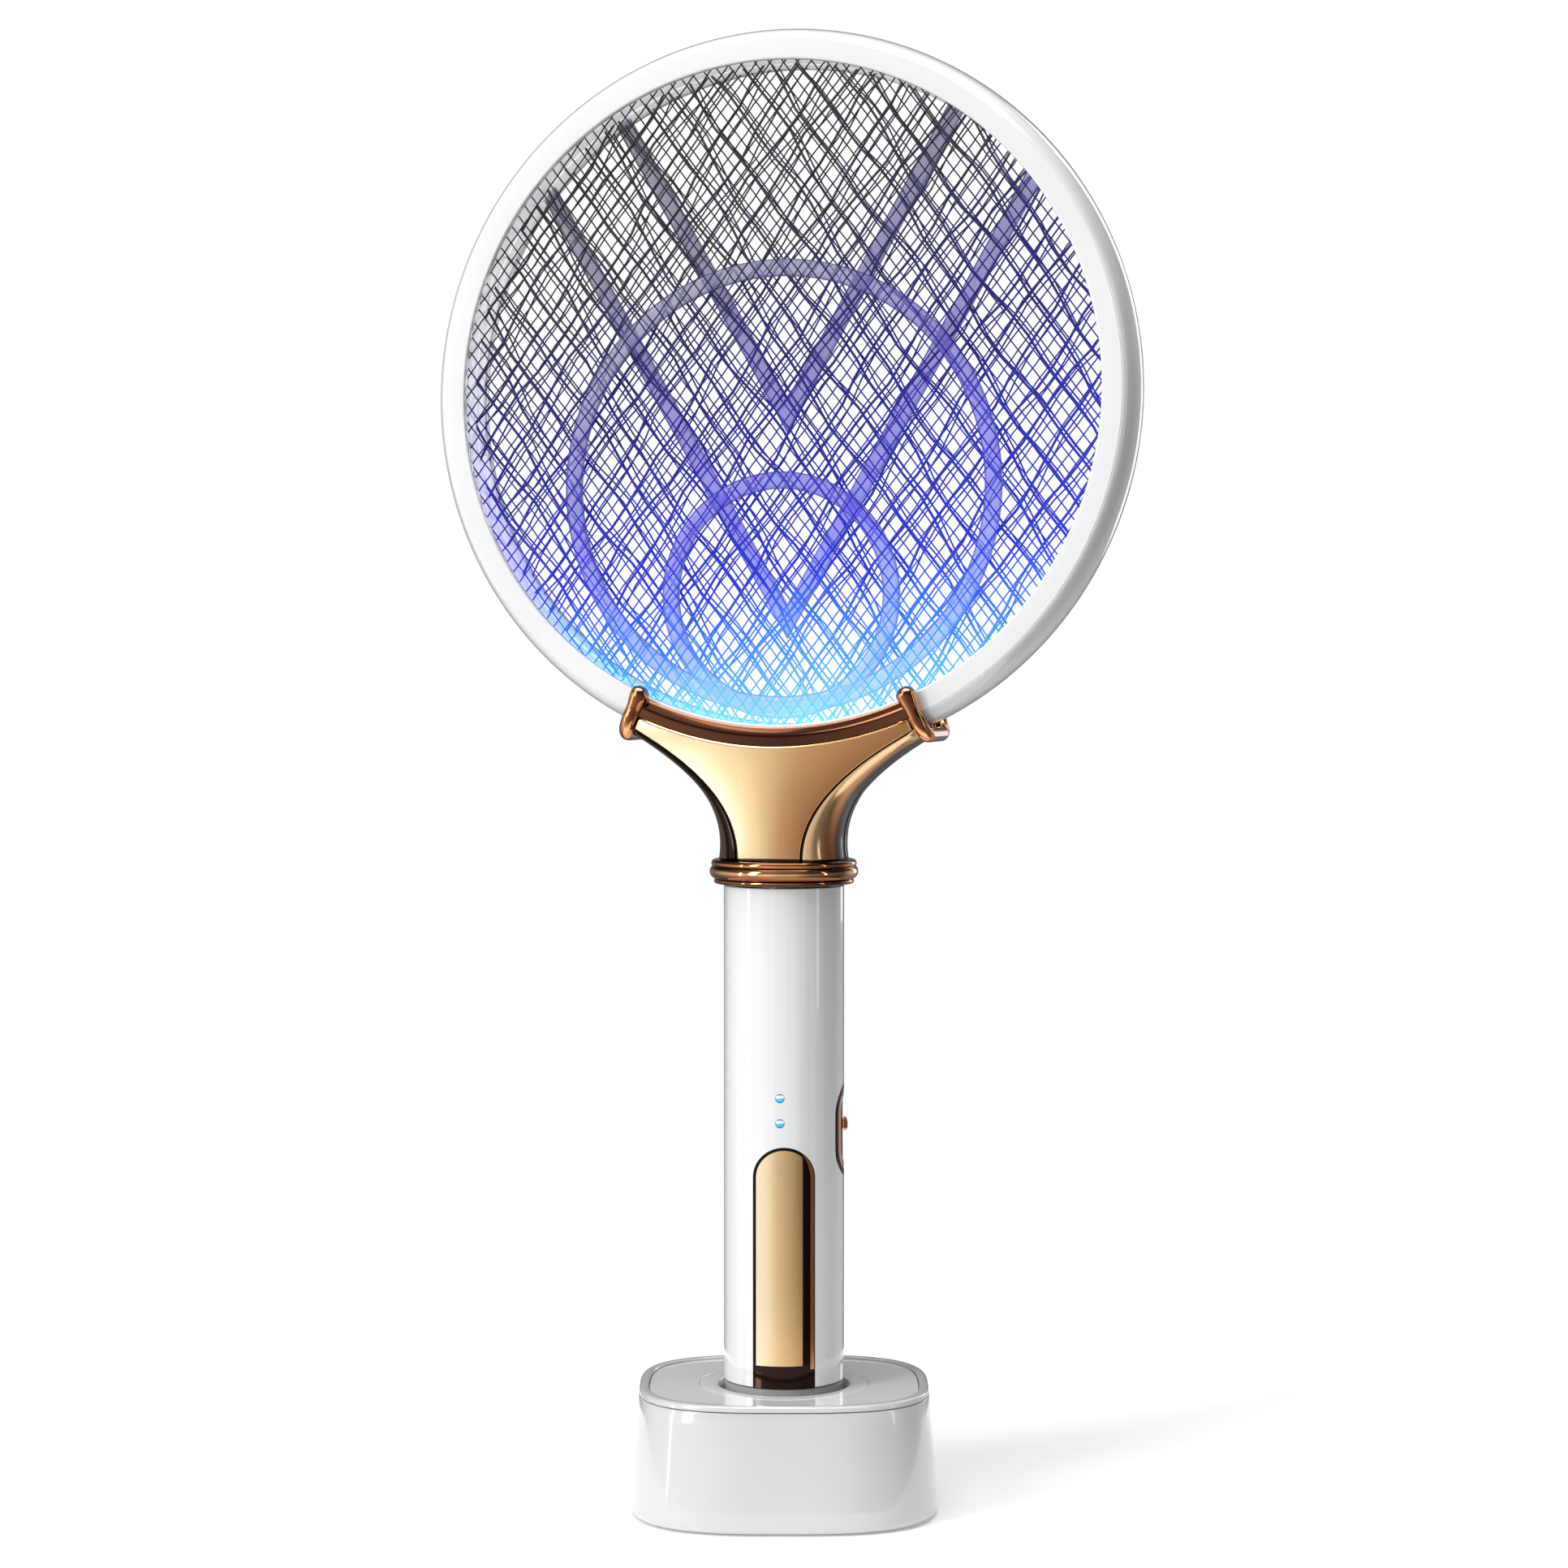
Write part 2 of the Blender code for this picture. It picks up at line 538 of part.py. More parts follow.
def make_dock():
    """Socket cup, contact pins, board and power inlet."""
    mouth = PANEL_TOP
    profile = [
        (0, CUP_FLOOR_TOP),
        (CUP_INNER, CUP_FLOOR_TOP),
        (CUP_INNER, mouth - SOCKET_FUNNEL),
        (SOCKET_MOUTH, mouth),
        (FLANGE_RADIUS, mouth),
        (FLANGE_RADIUS, RIM_BOTTOM),
        (CUP_OUTER, RIM_BOTTOM),
        (CUP_OUTER, CUP_BOTTOM),
        (0, CUP_BOTTOM),
    ]
    cup = turned("socket_cup", profile, CUP_GREY, steps=32, ring=False)
    holder_bottom = DOCK_BOARD_TOP + GAP
    holder_height = CUP_BOTTOM - GAP - holder_bottom
    holder = drum("pin_block", PIN_BLOCK_RADIUS, holder_height, BLACK_PLASTIC,
                  (0, 0, holder_bottom + holder_height / 2), steps=24)
    hole = PIN_RADIUS + GAP
    for name, offset in (("centre", 0), ("outer", PIN_OFFSET)):
        at = (0, -offset, CUP_BOTTOM)
        cut(cup, drum(f"cup_pin_hole_{name}", hole, 12 * MM, CUP_GREY, at))
        cut(holder, drum(f"block_pin_hole_{name}", hole, 24 * MM, CUP_GREY, at))
        pin = drum(f"charging_pin_{name}", PIN_RADIUS, PIN_TIP - PIN_FOOT, GOLD_CONTACT,
                   (0, -offset, (PIN_TIP + PIN_FOOT) / 2))
        tip = pin.modifiers.new("round_tip", "BEVEL")
        tip.width = 0.3 * MM
        tip.segments = 1
    board_front = -PIN_BLOCK_RADIUS - 3 * MM
    board_back = base_half_sizes(DOCK_BOARD_TOP, BASE_WALL)[1] - 2.5 * MM
    block("dock_board", (DOCK_BOARD_WIDTH, board_back - board_front, BOARD_THICKNESS), BOARD_GREEN,
          (0, (board_front + board_back) / 2, (DOCK_BOARD_BOTTOM + DOCK_BOARD_TOP) / 2))
    outside = pill(INLET_WIDTH / 2, INLET_HEIGHT / 2, INLET_HEIGHT / 2 - 0.01 * MM)
    inside = pill(INLET_WIDTH / 2 - INLET_WALL, INLET_HEIGHT / 2 - INLET_WALL,
                  INLET_HEIGHT / 2 - INLET_WALL - 0.01 * MM)
    at = (0, INLET_FACE - INLET_DEPTH / 2, INLET_HEIGHT_CENTRE)
    plate("usb_inlet_shell", [outside, inside], INLET_DEPTH, STEEL, at, FACING_FRONT)
    tongue = (INLET_WIDTH * 0.72, INLET_DEPTH * 0.7, 0.7 * MM)
    at = (0, INLET_FACE - INLET_DEPTH * 0.55, INLET_HEIGHT_CENTRE)
    block("usb_inlet_tongue", tongue, BLACK_PLASTIC, at)


# ---------------------------------------------------------------- handle

HANDLE_INNER = HANDLE_RADIUS - HANDLE_WALL
INSERT_RADIUS = HANDLE_INNER - GAP
CAP_BOTTOM = CUP_FLOOR_TOP + GAP
CAP_SHOULDER = HANDLE_BOTTOM - GAP
CAP_TOP = CAP_SHOULDER + CAP_SPIGOT
PAD_BOTTOM = PIN_TIP + GAP
PAD_TOP = PAD_BOTTOM + CONTACT_THICKNESS
CELL_Y = INSERT_RADIUS - CELL_RADIUS - 1.3 * MM
CELL_BOTTOM = HANDLE_BOTTOM + CELL_RISE
BOARD_BOTTOM = HANDLE_BOTTOM + BOARD_RISE
BOARD_LENGTH = SPIGOT_FLANGE_BOTTOM - BOARD_HEADROOM - BOARD_BOTTOM
BOARD_FRONT = -BOARD_PLANE - BOARD_THICKNESS / 2
BOARD_BACK = -BOARD_PLANE + BOARD_THICKNESS / 2
ARCH_CENTRE = PANEL_APEX - PANEL_HALF_WIDTH
KEY_TIP = BOARD_FRONT - GAP - KEY_BODY - KEY_STEM


def make_handle():
    """Tube, end cap with its contacts, and what the tube holds."""
    edge = 0.4 * MM
    profile = [
        (HANDLE_INNER, HANDLE_TOP),
        (HANDLE_RADIUS - edge, HANDLE_TOP),
        (HANDLE_RADIUS, HANDLE_TOP - edge),
        (HANDLE_RADIUS, HANDLE_BOTTOM),
        (HANDLE_INNER, HANDLE_BOTTOM),
    ]
    tube = turned("handle_tube", profile, GLOSS_WHITE)
    reach = HANDLE_RADIUS + 4 * MM
    window = arch(PANEL_HALF_WIDTH, HANDLE_BOTTOM - 8 * MM, ARCH_CENTRE)
    away = 8 * MM + reach / 2
    cut(tube, plate("panel_window", [window], reach, GLOSS_WHITE, (0, -away, 0), FACING_FRONT))
    opening = pill(SWITCH_HALF_WIDTH, SWITCH_HALF_LENGTH, SWITCH_CORNER, SWITCH_HEIGHT)
    cut(tube, plate("switch_window", [opening], reach, GLOSS_WHITE, (away, 0, 0), FACING_RIGHT))
    hole = LIGHT_RADIUS + 0.2 * MM
    for number, height in enumerate(LIGHT_HEIGHTS, 1):
        at = (LIGHT_SIDE, -HANDLE_RADIUS, height)
        cut(tube, drum(f"light_hole_{number}", hole, 12 * MM, GLOSS_WHITE, at, FACING_FRONT, steps=14))

    groove_in = PIN_OFFSET - CONTACT_RING_WIDTH / 2
    groove_out = PIN_OFFSET + CONTACT_RING_WIDTH / 2
    recess_top = PAD_TOP + GAP
    profile = [
        (0, recess_top + 1.3 * MM),
        (INSERT_RADIUS - CAP_WALL, recess_top + 1.3 * MM),
        (INSERT_RADIUS - CAP_WALL, CAP_TOP),
        (INSERT_RADIUS, CAP_TOP),
        (INSERT_RADIUS, CAP_SHOULDER),
        (CAP_RADIUS, CAP_SHOULDER),
        (CAP_RADIUS, CAP_BOTTOM + 1 * MM),
        (CAP_RADIUS - 1 * MM, CAP_BOTTOM),
        (groove_out + GAP, CAP_BOTTOM),
        (groove_out + GAP, recess_top),
        (groove_in - GAP, recess_top),
        (groove_in - GAP, CAP_BOTTOM),
        (PAD_RADIUS + GAP, CAP_BOTTOM),
        (PAD_RADIUS + GAP, recess_top),
        (0, recess_top),
    ]
    turned("end_cap", profile, CAP_GREY, steps=28, ring=False)
    middle = (PAD_TOP + PAD_BOTTOM) / 2
    drum("contact_pad_centre", PAD_RADIUS, CONTACT_THICKNESS, GOLD_CONTACT, (0, 0, middle))
    turned("contact_ring", [(groove_in, PAD_TOP), (groove_out, PAD_TOP), (groove_out, PAD_BOTTOM),
                            (groove_in, PAD_BOTTOM)], GOLD_CONTACT, steps=24)

    at = (0, CELL_Y, CELL_BOTTOM + CELL_LENGTH / 2)
    drum("battery_cell", CELL_RADIUS, CELL_LENGTH, CELL_WRAP, at, steps=24)
    at = (0, CELL_Y, CELL_BOTTOM - GAP - CLIP_THICKNESS / 2)
    drum("battery_clip", CELL_RADIUS - 1 * MM, CLIP_THICKNESS, STEEL, at, steps=24)
    at = (0, -BOARD_PLANE, BOARD_BOTTOM + BOARD_LENGTH / 2)
    block("control_board", (BOARD_WIDTH, BOARD_THICKNESS, BOARD_LENGTH), BOARD_GREEN, at)
    low = CELL_BOTTOM + CELL_LENGTH + 8 * MM
    back = BOARD_BACK + GAP
    at = (0, back + TRANSFORMER[1] / 2, low + TRANSFORMER[2] / 2)
    block("transformer", TRANSFORMER, COPPER_TAPE, at)
    low += TRANSFORMER[2] + 4 * MM
    block("hv_capacitor", CAPACITOR, CELL_WRAP, (0, back + CAPACITOR[1] / 2, low + CAPACITOR[2] / 2))


def make_trigger():
    """Bezel fixed in the tube, the bar that moves, and the push switch behind it."""
    outline = arch(PANEL_HALF_WIDTH - GAP, HANDLE_BOTTOM, ARCH_CENTRE)

    def bronze(name, inner, outer, loop):
        return curved_plate(name, inner, outer, [loop], FACING_FRONT, DARK_BRONZE)

    bezel = bronze("trigger_bezel", HANDLE_INNER, HANDLE_RADIUS, outline)
    flange_bottom = CAP_TOP + GAP
    flange_inner = INSERT_RADIUS - 1.2 * MM
    outline = arch(PANEL_HALF_WIDTH - GAP, flange_bottom, ARCH_CENTRE)
    join(bezel, bronze("bezel_neck", flange_inner, HANDLE_INNER + 1 * MM, outline))
    outline = arch(PANEL_HALF_WIDTH + BEZEL_FLANGE, flange_bottom, ARCH_CENTRE)
    join(bezel, bronze("bezel_flange", flange_inner, INSERT_RADIUS, outline))
    hole = arch(TRIGGER_HALF_WIDTH + GAP, TRIGGER_BOTTOM - GAP, ARCH_CENTRE, TRIGGER_RIGHT + GAP)
    reach = HANDLE_RADIUS
    at = (0, -reach / 2 - 6 * MM, 0)
    cut(bezel, plate("trigger_hole", [hole], reach, DARK_BRONZE, at, FACING_FRONT))

    outline = arch(TRIGGER_HALF_WIDTH, TRIGGER_BOTTOM, ARCH_CENTRE, TRIGGER_RIGHT)
    face = HANDLE_RADIUS + TRIGGER_PROUD
    bar = curved_plate("trigger_bar", HANDLE_INNER, face, [outline], FACING_FRONT, ROSE_GOLD)
    rib_back = KEY_TIP - TRIGGER_TRAVEL - GAP
    rib_front = -HANDLE_INNER - 0.8 * MM
    at = (0, (rib_back + rib_front) / 2, KEY_HEIGHT)
    join(bar, block("trigger_rib", (4 * MM, rib_back - rib_front, 18 * MM), ROSE_GOLD, at))

    body_front = BOARD_FRONT - GAP - KEY_BODY
    at = (0, body_front + KEY_BODY / 2, KEY_HEIGHT)
    key = block("trigger_switch", (KEY_SIZE, KEY_BODY, KEY_SIZE), BLACK_PLASTIC, at)
    at = (0, body_front - KEY_STEM / 2 + 0.5 * MM, KEY_HEIGHT)
    join(key, drum("key_stem", 1.7 * MM, KEY_STEM + 1 * MM, BLACK_PLASTIC, at, FACING_FRONT))


def make_lights():
    """Indicator lights: short light pipes from the board to the tube's face."""
    face = -sqrt(HANDLE_RADIUS ** 2 - LIGHT_SIDE ** 2) - 0.25 * MM
    back = BOARD_FRONT - GAP
    for number, height in enumerate(LIGHT_HEIGHTS, 1):
        at = (LIGHT_SIDE, (face + back) / 2, height)
        light = drum(f"indicator_light_{number}", LIGHT_RADIUS, back - face, LIGHT_BLUE, at, FACING_FRONT)
        dome = light.modifiers.new("round_end", "BEVEL")
        dome.width = 0.4 * MM
        dome.segments = 1


def make_mode_switch():
    """Black bezel with a copper frame on the handle's right, and the slider in it."""

    def outline(inset):
        half_width = SWITCH_HALF_WIDTH - inset
        return pill(half_width, SWITCH_HALF_LENGTH - inset, SWITCH_CORNER - inset, SWITCH_HEIGHT)

    floor = HANDLE_RADIUS - SWITCH_RECESS
    bezel_back = HANDLE_INNER - 0.7 * MM
    outside = [outline(GAP)]
    bezel = curved_plate("switch_bezel", bezel_back, HANDLE_RADIUS, outside, FACING_RIGHT, GLOSS_BLACK)
    inside = [outline(SWITCH_BORDER)]
    over = HANDLE_RADIUS + 3 * MM
    cut(bezel, curved_plate("switch_recess", floor, over, inside, FACING_RIGHT, GLOSS_BLACK))
    slot_half = SLIDER_TRAVEL + SLIDER_STEM[1] / 2 + GAP
    slot = (12 * MM, SLIDER_STEM[0] + 2 * GAP, 2 * slot_half)
    cut(bezel, block("switch_slot", slot, GLOSS_BLACK, (HANDLE_INNER, 0, SWITCH_HEIGHT + SLIDER_SHIFT)))
    band = SWITCH_BORDER + GAP
    loops = [outline(band), outline(band + SWITCH_FRAME_BAND)]
    curved_plate("switch_frame", floor + GAP, HANDLE_RADIUS - 0.2 * MM, loops, FACING_RIGHT, COPPER)

    rest = SWITCH_HEIGHT + SLIDER_SHIFT
    cap_bottom = floor + GAP
    cap_top = HANDLE_RADIUS + SLIDER_PROUD
    at = ((cap_top + cap_bottom) / 2, 0, rest)
    slider = block("switch_slider", (cap_top - cap_bottom, *SLIDER_CAP), COPPER, at)
    stem_back = bezel_back - 1.5 * MM
    stem_front = cap_bottom + 0.8 * MM
    stem = (stem_front - stem_back, *SLIDER_STEM)
    join(slider, block("slider_stem", stem, COPPER, ((stem_front + stem_back) / 2, 0, rest)))
    body_front = stem_back - GAP
    body = (3.2 * MM, 6.6 * MM, 13 * MM)
    block("mode_switch_body", body, STEEL, (body_front - body[0] / 2, 0, SWITCH_HEIGHT))


# ---------------------------------------------------------------- swivel

def make_swivel(head):
    """Spigot in the handle, with the bush, collar and clip that the head turns on."""
    groove_bottom = BUSH_TOP + GAP
    groove_top = groove_bottom + CLIP_HEIGHT + 2 * GAP
    groove = SPIGOT_RADIUS - 1.2 * MM
    profile = [
        (SPIGOT_BORE, SPIGOT_TOP),
        (SPIGOT_RADIUS, SPIGOT_TOP),
        (SPIGOT_RADIUS, groove_top),
        (groove, groove_top),
        (groove, groove_bottom),
        (SPIGOT_RADIUS, groove_bottom),
        (SPIGOT_RADIUS, SPIGOT_FLANGE_BOTTOM + SPIGOT_FLANGE),
        (INSERT_RADIUS, SPIGOT_FLANGE_BOTTOM + SPIGOT_FLANGE),
        (INSERT_RADIUS, SPIGOT_FLANGE_BOTTOM),
        (SPIGOT_BORE, SPIGOT_FLANGE_BOTTOM),
    ]
    turned("swivel_spigot", profile, STEEL, steps=24)
    clip_inner = groove + GAP
    opening = radians(35)
    loop = arc((0, 0), clip_inner + CLIP_WALL, opening, 2 * pi - opening, 20)
    loop += reversed(arc((0, 0), clip_inner, opening, 2 * pi - opening, 20))
    plate("retaining_clip", [loop], CLIP_HEIGHT, STEEL, (0, 0, groove_bottom + GAP + CLIP_HEIGHT / 2))

    bush_inner = SPIGOT_RADIUS + GAP
    bush_outer = bush_inner + BUSH_WALL
    bush_bottom = HANDLE_TOP + GAP
    turned("swivel_bush", [(bush_inner, BUSH_TOP), (bush_outer, BUSH_TOP), (bush_outer, bush_bottom),
                           (bush_inner, bush_bottom)], NATURAL_PLASTIC, parent=head, steps=24)
    sleeve_inner = bush_outer + GAP
    sleeve_outer = sleeve_inner + COLLAR_WALL
    centre = (BEAD_RADIUS - BEAD_ROUND, BEAD_HEIGHT)
    flat = BEAD_HEIGHT + BEAD_ROUND * 0.8
    profile = [(sleeve_inner, COLLAR_SLEEVE_TOP), (sleeve_outer, COLLAR_SLEEVE_TOP), (sleeve_outer, flat)]
    profile += arc(centre, BEAD_ROUND, pi / 2, -pi / 2, 6)
    profile += [(sleeve_inner, BEAD_HEIGHT - BEAD_ROUND)]
    turned("neck_collar", profile, ROSE_GOLD, parent=head, steps=28)


# ---------------------------------------------------------------- throat

def throat_section(height):
    """Half width of the front face, half width and half depth of the throat at a height."""
    rise = (height - THROAT_BOTTOM) / (FLARE_TOP - THROAT_BOTTOM)
    cap = tan(EDGE_ANGLE) * (HEAD_HEIGHT - height)
    cheek_neck = NECK_RADIUS - FACE_HALF_NECK
    cheek = CHEEK_WIDTH + (cheek_neck - CHEEK_WIDTH) * max(0.0, 1 - 2 * rise)
    face = min(FACE_HALF_NECK + FACE_FLARE * rise ** FACE_FLARE_POWER, cap - 1.6 * MM)
    neck_depth = sqrt(NECK_RADIUS ** 2 - FACE_HALF_NECK ** 2)
    blend = min(1.0, rise) ** 2 * (3 - 2 * min(1.0, rise))
    depth = neck_depth + (THROAT_HALF_DEPTH - neck_depth) * blend
    return face, min(face + cheek, cap), depth


def throat_half(name, side, head):
    """One shell of the throat: side -1 is the front half, 1 the rear."""
    top = HEAD_HEIGHT - BAND_LOWER * cos(EDGE_ANGLE) + 1 * MM
    shape = bmesh.new()
    rows = []
    for level in range(THROAT_LEVELS + 1):
        height = THROAT_BOTTOM + (top - THROAT_BOTTOM) * level / THROAT_LEVELS
        face, half, depth = throat_section(height)
        outline = []
        for x, y in arc((0, 0), 1, 0, pi / 2, 5):
            outline.append((face + (half - face) * x, GAP / 2 + (depth - GAP / 2) * y))
        outline.append((face / 2, depth))
        outline += [(-x, y) for x, y in reversed(outline)]
        rows.append([shape.verts.new((x, side * y, height)) for x, y in outline])
    for lower, upper in zip(rows, rows[1:]):
        for index in range(len(lower) - 1):
            corners = [lower[index], lower[index + 1], upper[index + 1], upper[index]]
            shape.faces.new(corners if side > 0 else reversed(corners))
    half_shell = place(name, from_bmesh(name, shape), ROSE_GOLD, parent=head)
    shell = half_shell.modifiers.new("wall", "SOLIDIFY")
    shell.thickness = THROAT_WALL
    shell.offset = -1
    return half_shell


def ring_clearance(name, head):
    """Cutter that follows the ring and the mesh opening with a clearance."""
    through = 30 * MM
    band = BAND_LOWER + GAP
    around = RING_RADIUS + GAP
    face = RING_HALF_DEPTH + GAP
    profile = [(0, through), (band, through), (band, face), (around, face), (around, -face), (band, -face),
               (band, -through), (0, -through)]
    return turned(name, profile, ROSE_GOLD, (0, 0, HEAD_HEIGHT), FACING_FRONT, head, RING_STEPS, False)


def make_throat(head):
    """Front and rear shells, the dark bands beside the mesh, and the ferrules."""
    for name, side in (("throat_front", -1), ("throat_rear", 1)):
        cut(throat_half(name, side, head), ring_clearance(f"{name}_clearance", head), folded=True)

    wedge_reach = RING_RADIUS + 10 * MM
    corner = (wedge_reach * sin(EDGE_ANGLE), -wedge_reach * cos(EDGE_ANGLE))
    wedge = [(0, 0), (-corner[0], corner[1]), (0, -1.1 * wedge_reach), corner]
    for name, side in (("saddle_band_front", 1), ("saddle_band_rear", -1)):
        seat = RING_HALF_DEPTH + GAP
        profile = [
            (BAND_UPPER, seat + 0.9 * MM),
            (BAND_LOWER, THROAT_HALF_DEPTH),
            (BAND_LOWER, seat),
            (BAND_UPPER, seat),
        ]
        if side < 0:
            profile = [(radius, -height) for radius, height in reversed(profile)]
        band = turned(name, profile, DARK_BRONZE, (0, 0, HEAD_HEIGHT), FACING_FRONT, head, RING_STEPS)
        at = (0, 0, HEAD_HEIGHT)
        common(band, plate(f"{name}_sector", [wedge], 60 * MM, DARK_BRONZE, at, FACING_FRONT, head))

    off_ring = GAP + FERRULE_ROUND
    front = RING_HALF_DEPTH + off_ring
    inner = MESH_RADIUS + 0.2 * MM
    outer = RING_RADIUS + off_ring
    corner = 6.0 * MM
    route = [(inner, front)] + arc((outer - corner, front - corner), corner, pi / 2, 0, 6)
    route += [(radius, -height) for radius, height in reversed(route)]
    for name, side in (("ferrule_left", -1), ("ferrule_right", 1)):
        curve = bpy.data.curves.new(name, "CURVE")
        curve.dimensions = "3D"
        curve.bevel_depth = FERRULE_ROUND
        curve.bevel_resolution = 2
        curve.use_fill_caps = True
        spline = curve.splines.new("POLY")
        spline.points.add(len(route) - 1)
        for point, (radius, height) in zip(spline.points, route):
            x = side * radius * sin(FERRULE_ANGLE)
            z = HEAD_HEIGHT - radius * cos(FERRULE_ANGLE)
            point.co = (x, -height, z, 1)
        place(name, mesh_of_curve(name, curve), ROSE_GOLD, parent=head)


# ---------------------------------------------------------------- head ring, grids and ribs

GRID_OUTER = MESH_RADIUS + GRID_EDGE
HOOP_OUTER = MESH_RADIUS + HOOP_WIDTH
BOSS_CIRCLE = HOOP_OUTER + GAP + RING_BOSS_RADIUS
WALL_INSIDE = GRID_PLANE + GRID_THICKNESS / 2 + GAP
WALL_BEND = WALL_INSIDE * 0.6
HOOP_FRONT = GRID_PLANE - GRID_THICKNESS / 2 - GAP
HOOP_BACK = GRID_THICKNESS / 2 + GAP


def ring_shell(name, side, head):
    """Half of the hollow ring: side 1 faces the front, -1 the back."""
    edge = 0.6 * MM
    seam = GAP / 2
    crease = MESH_RADIUS + RING_BAND
    bulge = RING_RADIUS - crease
    profile = [
        (MESH_RADIUS, RING_HALF_DEPTH - edge),
        (MESH_RADIUS + edge, RING_HALF_DEPTH),
        (crease, RING_HALF_DEPTH),
    ]
    for angle in (55, 22):
        turn = radians(angle)
        profile.append((crease + bulge * cos(turn), seam + (RING_HALF_DEPTH - seam) * sin(turn)))
    profile += [
        (RING_RADIUS, seam),
        (RING_RADIUS - RING_WALL, seam),
        (RING_RADIUS - RING_WALL - 0.4 * MM, WALL_BEND),
        (crease - 0.4 * MM, WALL_INSIDE),
        (MESH_RADIUS, WALL_INSIDE),
    ]
    if side < 0:
        profile = [(radius, -height) for radius, height in reversed(profile)]
    return turned(name, profile, GLOSS_WHITE, (0, 0, HEAD_HEIGHT), FACING_FRONT, head, RING_STEPS)


def on_ring(radius, degrees_from_top):
    """Place in the head's plane, as x and height."""
    turn = radians(degrees_from_top)
    return radius * sin(turn), HEAD_HEIGHT + radius * cos(turn)


def make_ring(head):
    """Front and rear shells with the screws that hold them together."""
    front = ring_shell("ring_front", 1, head)
    rear = ring_shell("ring_rear", -1, head)
    post_front = -WALL_INSIDE - 0.8 * MM
    post_back = WALL_BEND
    head_face = RING_HALF_DEPTH - 0.1 * MM
    for number, angle in enumerate(RING_SCREW_ANGLES, 1):
        x, z = on_ring(BOSS_CIRCLE, angle)
        at = (x, (post_front + post_back) / 2, z)
        join(front, drum(f"ring_post_{number}", RING_BOSS_RADIUS, post_back - post_front, GLOSS_WHITE, at,
                         FACING_FRONT, head, 10))
        hole = RING_SCREW_RADIUS + GAP
        depth = RING_SCREW_LENGTH + 2 * MM
        at = (x, head_face - depth / 2, z)
        cut(front, drum(f"post_hole_{number}", hole, depth, GLOSS_WHITE, at, FACING_FRONT, head, 10))
        at = (x, head_face - 2 * MM, z)
        cut(rear, drum(f"screw_hole_{number}", hole, 9 * MM, GLOSS_WHITE, at, FACING_FRONT, head, 10))
        at = (x, head_face + 2 * MM - RING_SCREW_HEAD_DEPTH - GAP, z)
        sink = RING_SCREW_HEAD + GAP
        cut(rear, drum(f"screw_sink_{number}", sink, 4 * MM, GLOSS_WHITE, at, FACING_FRONT, head, 12))
        neck = head_face - RING_SCREW_HEAD_DEPTH
        profile = [
            (0, -head_face + RING_SCREW_LENGTH),
            (RING_SCREW_RADIUS, -head_face + RING_SCREW_LENGTH),
            (RING_SCREW_RADIUS, -neck),
            (RING_SCREW_HEAD, -neck),
            (RING_SCREW_HEAD, -head_face),
            (0, -head_face),
        ]
        turned(f"ring_screw_{number}", profile, STEEL, (x, 0, z), FACING_FRONT, head, 10, False)


def clipped(loop, limit, sides=24):
    """Part of a convex outline that lies inside a circle, taken as a many-sided polygon."""
    for side in range(sides):
        turn = 2 * pi * side / sides
        along = (cos(turn), sin(turn))
        kept = []
        for here, after in zip(loop, loop[1:] + loop[:1]):
            d_here = here[0] * along[0] + here[1] * along[1] - limit
            d_after = after[0] * along[0] + after[1] * along[1] - limit
            if d_here <= 0:
                kept.append(here)
            if d_here * d_after < 0:
                share = d_here / (d_here - d_after)
                x = here[0] + (after[0] - here[0]) * share
                y = here[1] + (after[1] - here[1]) * share
                kept.append((x, y))
        loop = kept
        if not loop:
            break
    return loop


def area(loop):
    """Area of a flat outline."""
    total = 0.0
    for (x1, y1), (x2, y2) in zip(loop, loop[1:] + loop[:1]):
        total += x1 * y2 - x2 * y1
    return abs(total) / 2


def make_grids(head):
    """Three diamond lattices, the middle one live and the outer two earthed."""
    wide, tall = GRID_CELL
    half_x = wide / 2 - GRID_BAR
    half_y = tall / 2 - GRID_BAR * tall / wide
    columns = int(2 * MESH_RADIUS / wide) + 2
    rows = int(2 * MESH_RADIUS / tall) + 2
    holes = []
    for column in range(-2 * columns, 2 * columns + 1):
        for row in range(-2 * rows, 2 * rows + 1):
            if (column + row) % 2:
                continue
            x, y = column * wide / 2, row * tall / 2
            diamond = [(x + half_x, y), (x, y + half_y), (x - half_x, y), (x, y - half_y)]
            hole = clipped(diamond, MESH_RADIUS - 0.8 * MM)
            if len(hole) > 2 and area(hole) > 0.06 * wide * tall:
                holes.append(hole)
    edge = arc((0, 0), GRID_OUTER, 0, 2 * pi * (1 - 1 / RING_STEPS), RING_STEPS - 1)
    for name, plane in (("front_grid", -GRID_PLANE), ("centre_grid", 0), ("rear_grid", GRID_PLANE)):
        plate(name, [edge] + holes, GRID_THICKNESS, GRID_WIRE, (0, plane, HEAD_HEIGHT), FACING_FRONT, head)


def hoop(name, side, head):
    """Spacer hoop between two grids: side 1 in front of the middle grid, -1 behind it."""
    near, far = sorted((side * HOOP_FRONT, side * HOOP_BACK), reverse=True)
    profile = [(MESH_RADIUS, near), (HOOP_OUTER, near), (HOOP_OUTER, far), (MESH_RADIUS, far)]
    return turned(name, profile, RIB_VIOLET, (0, 0, HEAD_HEIGHT), FACING_FRONT, head, RING_STEPS)


